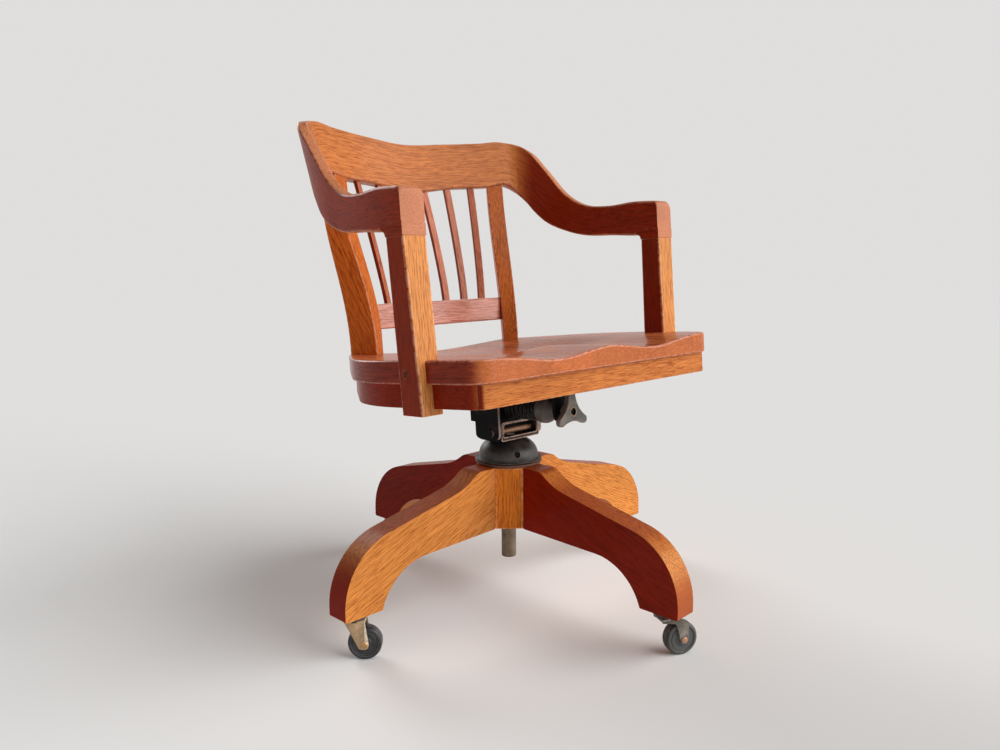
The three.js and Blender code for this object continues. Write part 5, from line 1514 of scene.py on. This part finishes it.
# Arm posts
def arm_post_solid(side, grow=0):
    levels = [
        (-POST_DROP - grow, POST_OUTER - POST_WIDTH, POST_OUTER, -POST_FRONT, POST_DEPTH),
        (POST_SEAM_HEIGHT, arm_inner(), arm_inner() + ARM_THICKNESS, -POST_SEAM_FRONT, POST_SEAM_DEPTH),
    ]
    rings = []
    for z, inner, outer, front, depth in levels:
        corners = [(inner - grow, front - grow), (outer + grow, front - grow),
                   (outer + grow, front + depth + grow), (inner - grow, front + depth + grow)]
        points = outline([(x, y, POST_ROUNDING + grow) for x, y in corners], ROUND_STEPS)
        rings.append([(side * p.x, p.y, z) for p in points])
    return loft("arm_post", rings, SEAT_MATRIX)


def make_arm_posts():
    share = (PLUG_HEIGHT + POST_DROP) / (POST_SEAM_HEIGHT + POST_DROP)
    face = mix(POST_OUTER, bow_plan(BOW_HALF)[0] + ARM_THICKNESS / 2, share) + PLUG_PROUD
    matrix = SEAT_MATRIX @ Matrix.Translation((0, PLUG_Y, PLUG_HEIGHT))
    for name, side in SIDES.items():
        post = arm_post_solid(side)
        post.name = "arm_post_wood_" + name
        hole = rod(PLUG_RADIUS + SEAM, side * (face - PLUG_DEPTH - SEAM), side * (face + OVERRUN))
        combine(post, turned("hole", hole, along_x, matrix, SMALL_SIDES))
        eased(post, POST_FINE_EDGE, 1, POST_FINE_ANGLE)
        heart = (side * POST_HEART[0], *POST_HEART[1:])
        wooden(post, heart, Z_AXIS, (side * 0.4, -1, 0), SEEDS["arm_post"] + side, OAK_FRAME,
               "arm_post_" + name)
        plug = rounded(rod(PLUG_RADIUS, side * (face - PLUG_DEPTH), side * face), PLUG_ROUNDING)
        piece = eased(turned("plug_wood_" + name, plug, along_x, matrix, SMALL_SIDES))
        wooden(piece, (0, PLUG_Y, PLUG_HEIGHT), (0, 1, 1), X_AXIS, SEEDS["plug"] + side, OAK_PLUG,
               "post_plug_" + name)


# Back
def back_post_corners(share, grow):
    """The section of a back post at a share of its height."""
    bend = smooth(share ** BACK_BEND)
    turn = mix(*BACK_TURNS, share)
    width = mix(*BACK_WIDTHS, share)
    depth = mix(*BACK_DEPTHS, share ** 2)
    x, y = mix(BACK_FOOT[0], BACK_HEAD[0], bend), mix(BACK_FOOT[1], BACK_HEAD[1], bend)
    across = (-width * cos(turn), width * sin(turn))
    inward = (depth * sin(BACK_SIDE_TURN), depth * cos(BACK_SIDE_TURN))
    corners = [
        (x, y),
        (x + inward[0], y + inward[1]),
        (x + inward[0] + across[0], y + inward[1] + across[1]),
        (x + across[0], y + across[1]),
    ]
    return inset([(*corner, BACK_ROUNDING) for corner in corners], -grow)


def back_post_solid(side, grow=0):
    """A bent post that follows the seat with its foot and the crest with its head."""
    head = crest_underside(*BACK_HEAD) - HEAD_GAP
    rings = []
    for i in range(BACK_LEVELS):
        share = i / (BACK_LEVELS - 1)
        ring = []
        for p in outline(back_post_corners(share, grow), ROUND_STEPS):
            height = mix(BACK_FOOT_HEIGHT, head, share)
            if i == 0:
                height = seat_top(p.x, p.y) + SEAM
            if i == BACK_LEVELS - 1:
                height = crest_underside(p.x, p.y) - HEAD_GAP
            ring.append((side * p.x, p.y, height))
        rings.append(ring)
    return loft("back_post", rings, SEAT_MATRIX)


def make_back():
    for name, side in SIDES.items():
        post = back_post_solid(side)
        post.name = "back_post_wood_" + name
        heart = (side * BACK_HEART[0], *BACK_HEART[1:])
        seed = SEEDS["back_post"] + side
        wooden(eased(post), heart, (side * 0.16, 0.32, 1), (1, 0.6, 0), seed, OAK_REAR,
               "back_post_" + name)
    low, high = RAIL_LEVELS
    section = rectangle(RAIL_FRONT, low, RAIL_FRONT + RAIL_THICKNESS, high, RAIL_ROUNDING)
    rail = slab("rail_wood", section, -RAIL_HALF, RAIL_HALF, along_x, SEAT_MATRIX)
    combine(rail, *[back_post_solid(side, SEAM) for side in SIDES.values()])
    wooden(eased(rail), RAIL_HEART, X_AXIS, (0, 1, 0.2), SEEDS["rail"], OAK_RAIL, "lower_rail")


def slat_piece(index, side, name):
    foot, head_x, turn = SLAT_FEET[index], SLAT_HEADS[index], SLAT_TURNS[index]
    head_distance = CREST_RADIUS * math.asin(head_x / CREST_RADIUS)
    _, plan_y, heading = bow_plan(head_distance)
    head_y = plan_y + (bow_section(head_distance / BOW_HALF)["inner_bottom"] + SLAT_INSET) * cos(heading)
    head = crest_underside(head_x, head_y) - HEAD_GAP
    half, thick = SLAT_WIDTH / 2, SLAT_THICKNESS / 2
    section = rectangle(-half, -thick, half, thick, SLAT_ROUNDING)
    rings = []
    for i in range(SLAT_LEVELS):
        share = i / (SLAT_LEVELS - 1)
        x = mix(foot, head_x, share)
        y = mix(SLAT_FOOT_Y, head_y, share ** SLAT_BEND)
        z = mix(RAIL_LEVELS[1] + SEAM, head, share)
        ring = []
        for p in section:
            spot_x = x + p.x * cos(turn) + p.y * sin(turn)
            spot_y = y - p.x * sin(turn) + p.y * cos(turn)
            if i == SLAT_LEVELS - 1:
                z = crest_underside(spot_x, spot_y) - HEAD_GAP
            ring.append((side * spot_x, spot_y, z))
        rings.append(ring)
    slat = eased(loft("slat_wood_" + name, rings, SEAT_MATRIX))
    heart = (side * foot, SLAT_FOOT_Y, SLAT_HEART_HEIGHT)
    seed = SEEDS["slat"] + index + SLAT_SEED_STEP * side
    wooden(slat, heart, (side * 0.05, 0.25, 1), (0.5, 1, 0), seed, OAK_SLAT, "slat_" + name)


def make_slats():
    for index in range(len(SLAT_FEET)):
        for name, side in SIDES.items():
            slat_piece(index, side, f"{name}_{index + 1}")


# Small CAD pieces that keep their own shape
def colour_nodes():
    screws = {f"seat_screw_{index + 1}": SPINDLE_STEEL for index in range(SEAT_SCREWS)}
    finishes = {"hub_bush": IRON, "set_screw": SPRING_STEEL, **screws}
    for name, material in finishes.items():
        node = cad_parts[name]
        node.data.materials.clear()
        node.data.materials.append(material)


# Studio: two broad suns and a dim sky, so that the floor is evenly lit out to the backdrop
def floor_material():
    g = Graph(bpy.data.materials.new("pale floor"))
    place = g.add("NewGeometry").outputs["Position"]
    reach = g.add("VectorMath", {0: place}, operation="LENGTH").outputs["Value"]
    diffuse = g.add("BsdfDiffuse", {"Color": FLOOR_COLOUR}).outputs[0]
    glow = g.add("Emission", {"Color": BACKDROP_COLOUR, "Strength": 1.0}).outputs[0]
    mixed = g.add("MixShader", {0: g.ramp(reach, *BACKDROP_REACH), 1: diffuse, 2: glow}).outputs[0]
    g.put(g.nodes["Material Output"].inputs["Surface"], mixed)
    return g.owner


def make_floor():
    points = [(STAGE_REACH * cos(a), STAGE_REACH * sin(a), 0) for a in turns_of(TURNED_SIDES)]
    floor = new_object("studio_floor", points, [tuple(range(TURNED_SIDES))])
    floor.data.materials.append(floor_material())


def make_sky():
    """A sky that lights the chair dimly, but is seen in the backdrop's colour."""
    world = bpy.data.worlds.new("studio")
    bpy.context.scene.world = world
    g = Graph(world)
    light = g.nodes["Background"]
    g.put(light.inputs["Color"], SKY_COLOUR)
    g.put(light.inputs["Strength"], SKY_STRENGTH)
    seen = g.add("Background", {"Color": BACKDROP_COLOUR}).outputs[0]
    path = g.add("LightPath").outputs
    either = g.most(g.most(path["Is Camera Ray"], path["Is Glossy Ray"]), path["Is Transmission Ray"])
    mixed = g.add("MixShader", {0: either, 1: light.outputs[0], 2: seen}).outputs[0]
    g.put(g.nodes["World Output"].inputs["Surface"], mixed)


def sun_light(name, towards, strength, spread):
    lamp = bpy.data.lights.new(name, "SUN")
    lamp.energy = strength
    lamp.angle = spread
    obj = bpy.data.objects.new(name, lamp)
    bpy.context.scene.collection.objects.link(obj)
    obj.rotation_euler = Vector(towards).to_track_quat("Z", "Y").to_euler()


def make_camera():
    back = Vector((sin(CAMERA_TURN), -cos(CAMERA_TURN), 0))
    level = -back
    aside = level.cross(Z_AXIS)
    forward = level * cos(CAMERA_PITCH) - Z_AXIS * sin(CAMERA_PITCH)
    above = aside.cross(forward)
    right = aside * cos(CAMERA_ROLL) + above * sin(CAMERA_ROLL)
    up = above * cos(CAMERA_ROLL) - aside * sin(CAMERA_ROLL)
    spot = (back * CAMERA_DISTANCE + aside * CAMERA_ASIDE + Z_AXIS * CAMERA_HEIGHT) * MM
    lens = bpy.data.cameras.new("camera")
    lens.lens = CAMERA_LENS
    lens.sensor_width = SENSOR_WIDTH
    camera = bpy.data.objects.new("camera", lens)
    bpy.context.scene.collection.objects.link(camera)
    turn = Matrix((right, up, -forward)).transposed().to_4x4()
    camera.matrix_world = Matrix.Translation(spot) @ turn
    bpy.context.scene.camera = camera


make_post()
make_plate()
make_legs()
make_casters()
make_cap()
make_spindle()
make_yoke()
make_window_plate()
make_pin()
make_seat_iron()
make_knob()
make_bolt()
make_cup()
make_spring()
make_seat_board()
make_aprons()
make_bow()
make_arm_posts()
make_back()
make_slats()
colour_nodes()
make_floor()
make_sky()
sun_light("key", KEY_FROM, KEY_STRENGTH, KEY_SPREAD)
sun_light("rear", REAR_FROM, REAR_STRENGTH, REAR_SPREAD)
make_camera()
bpy.context.scene.view_settings.view_transform = "Standard"
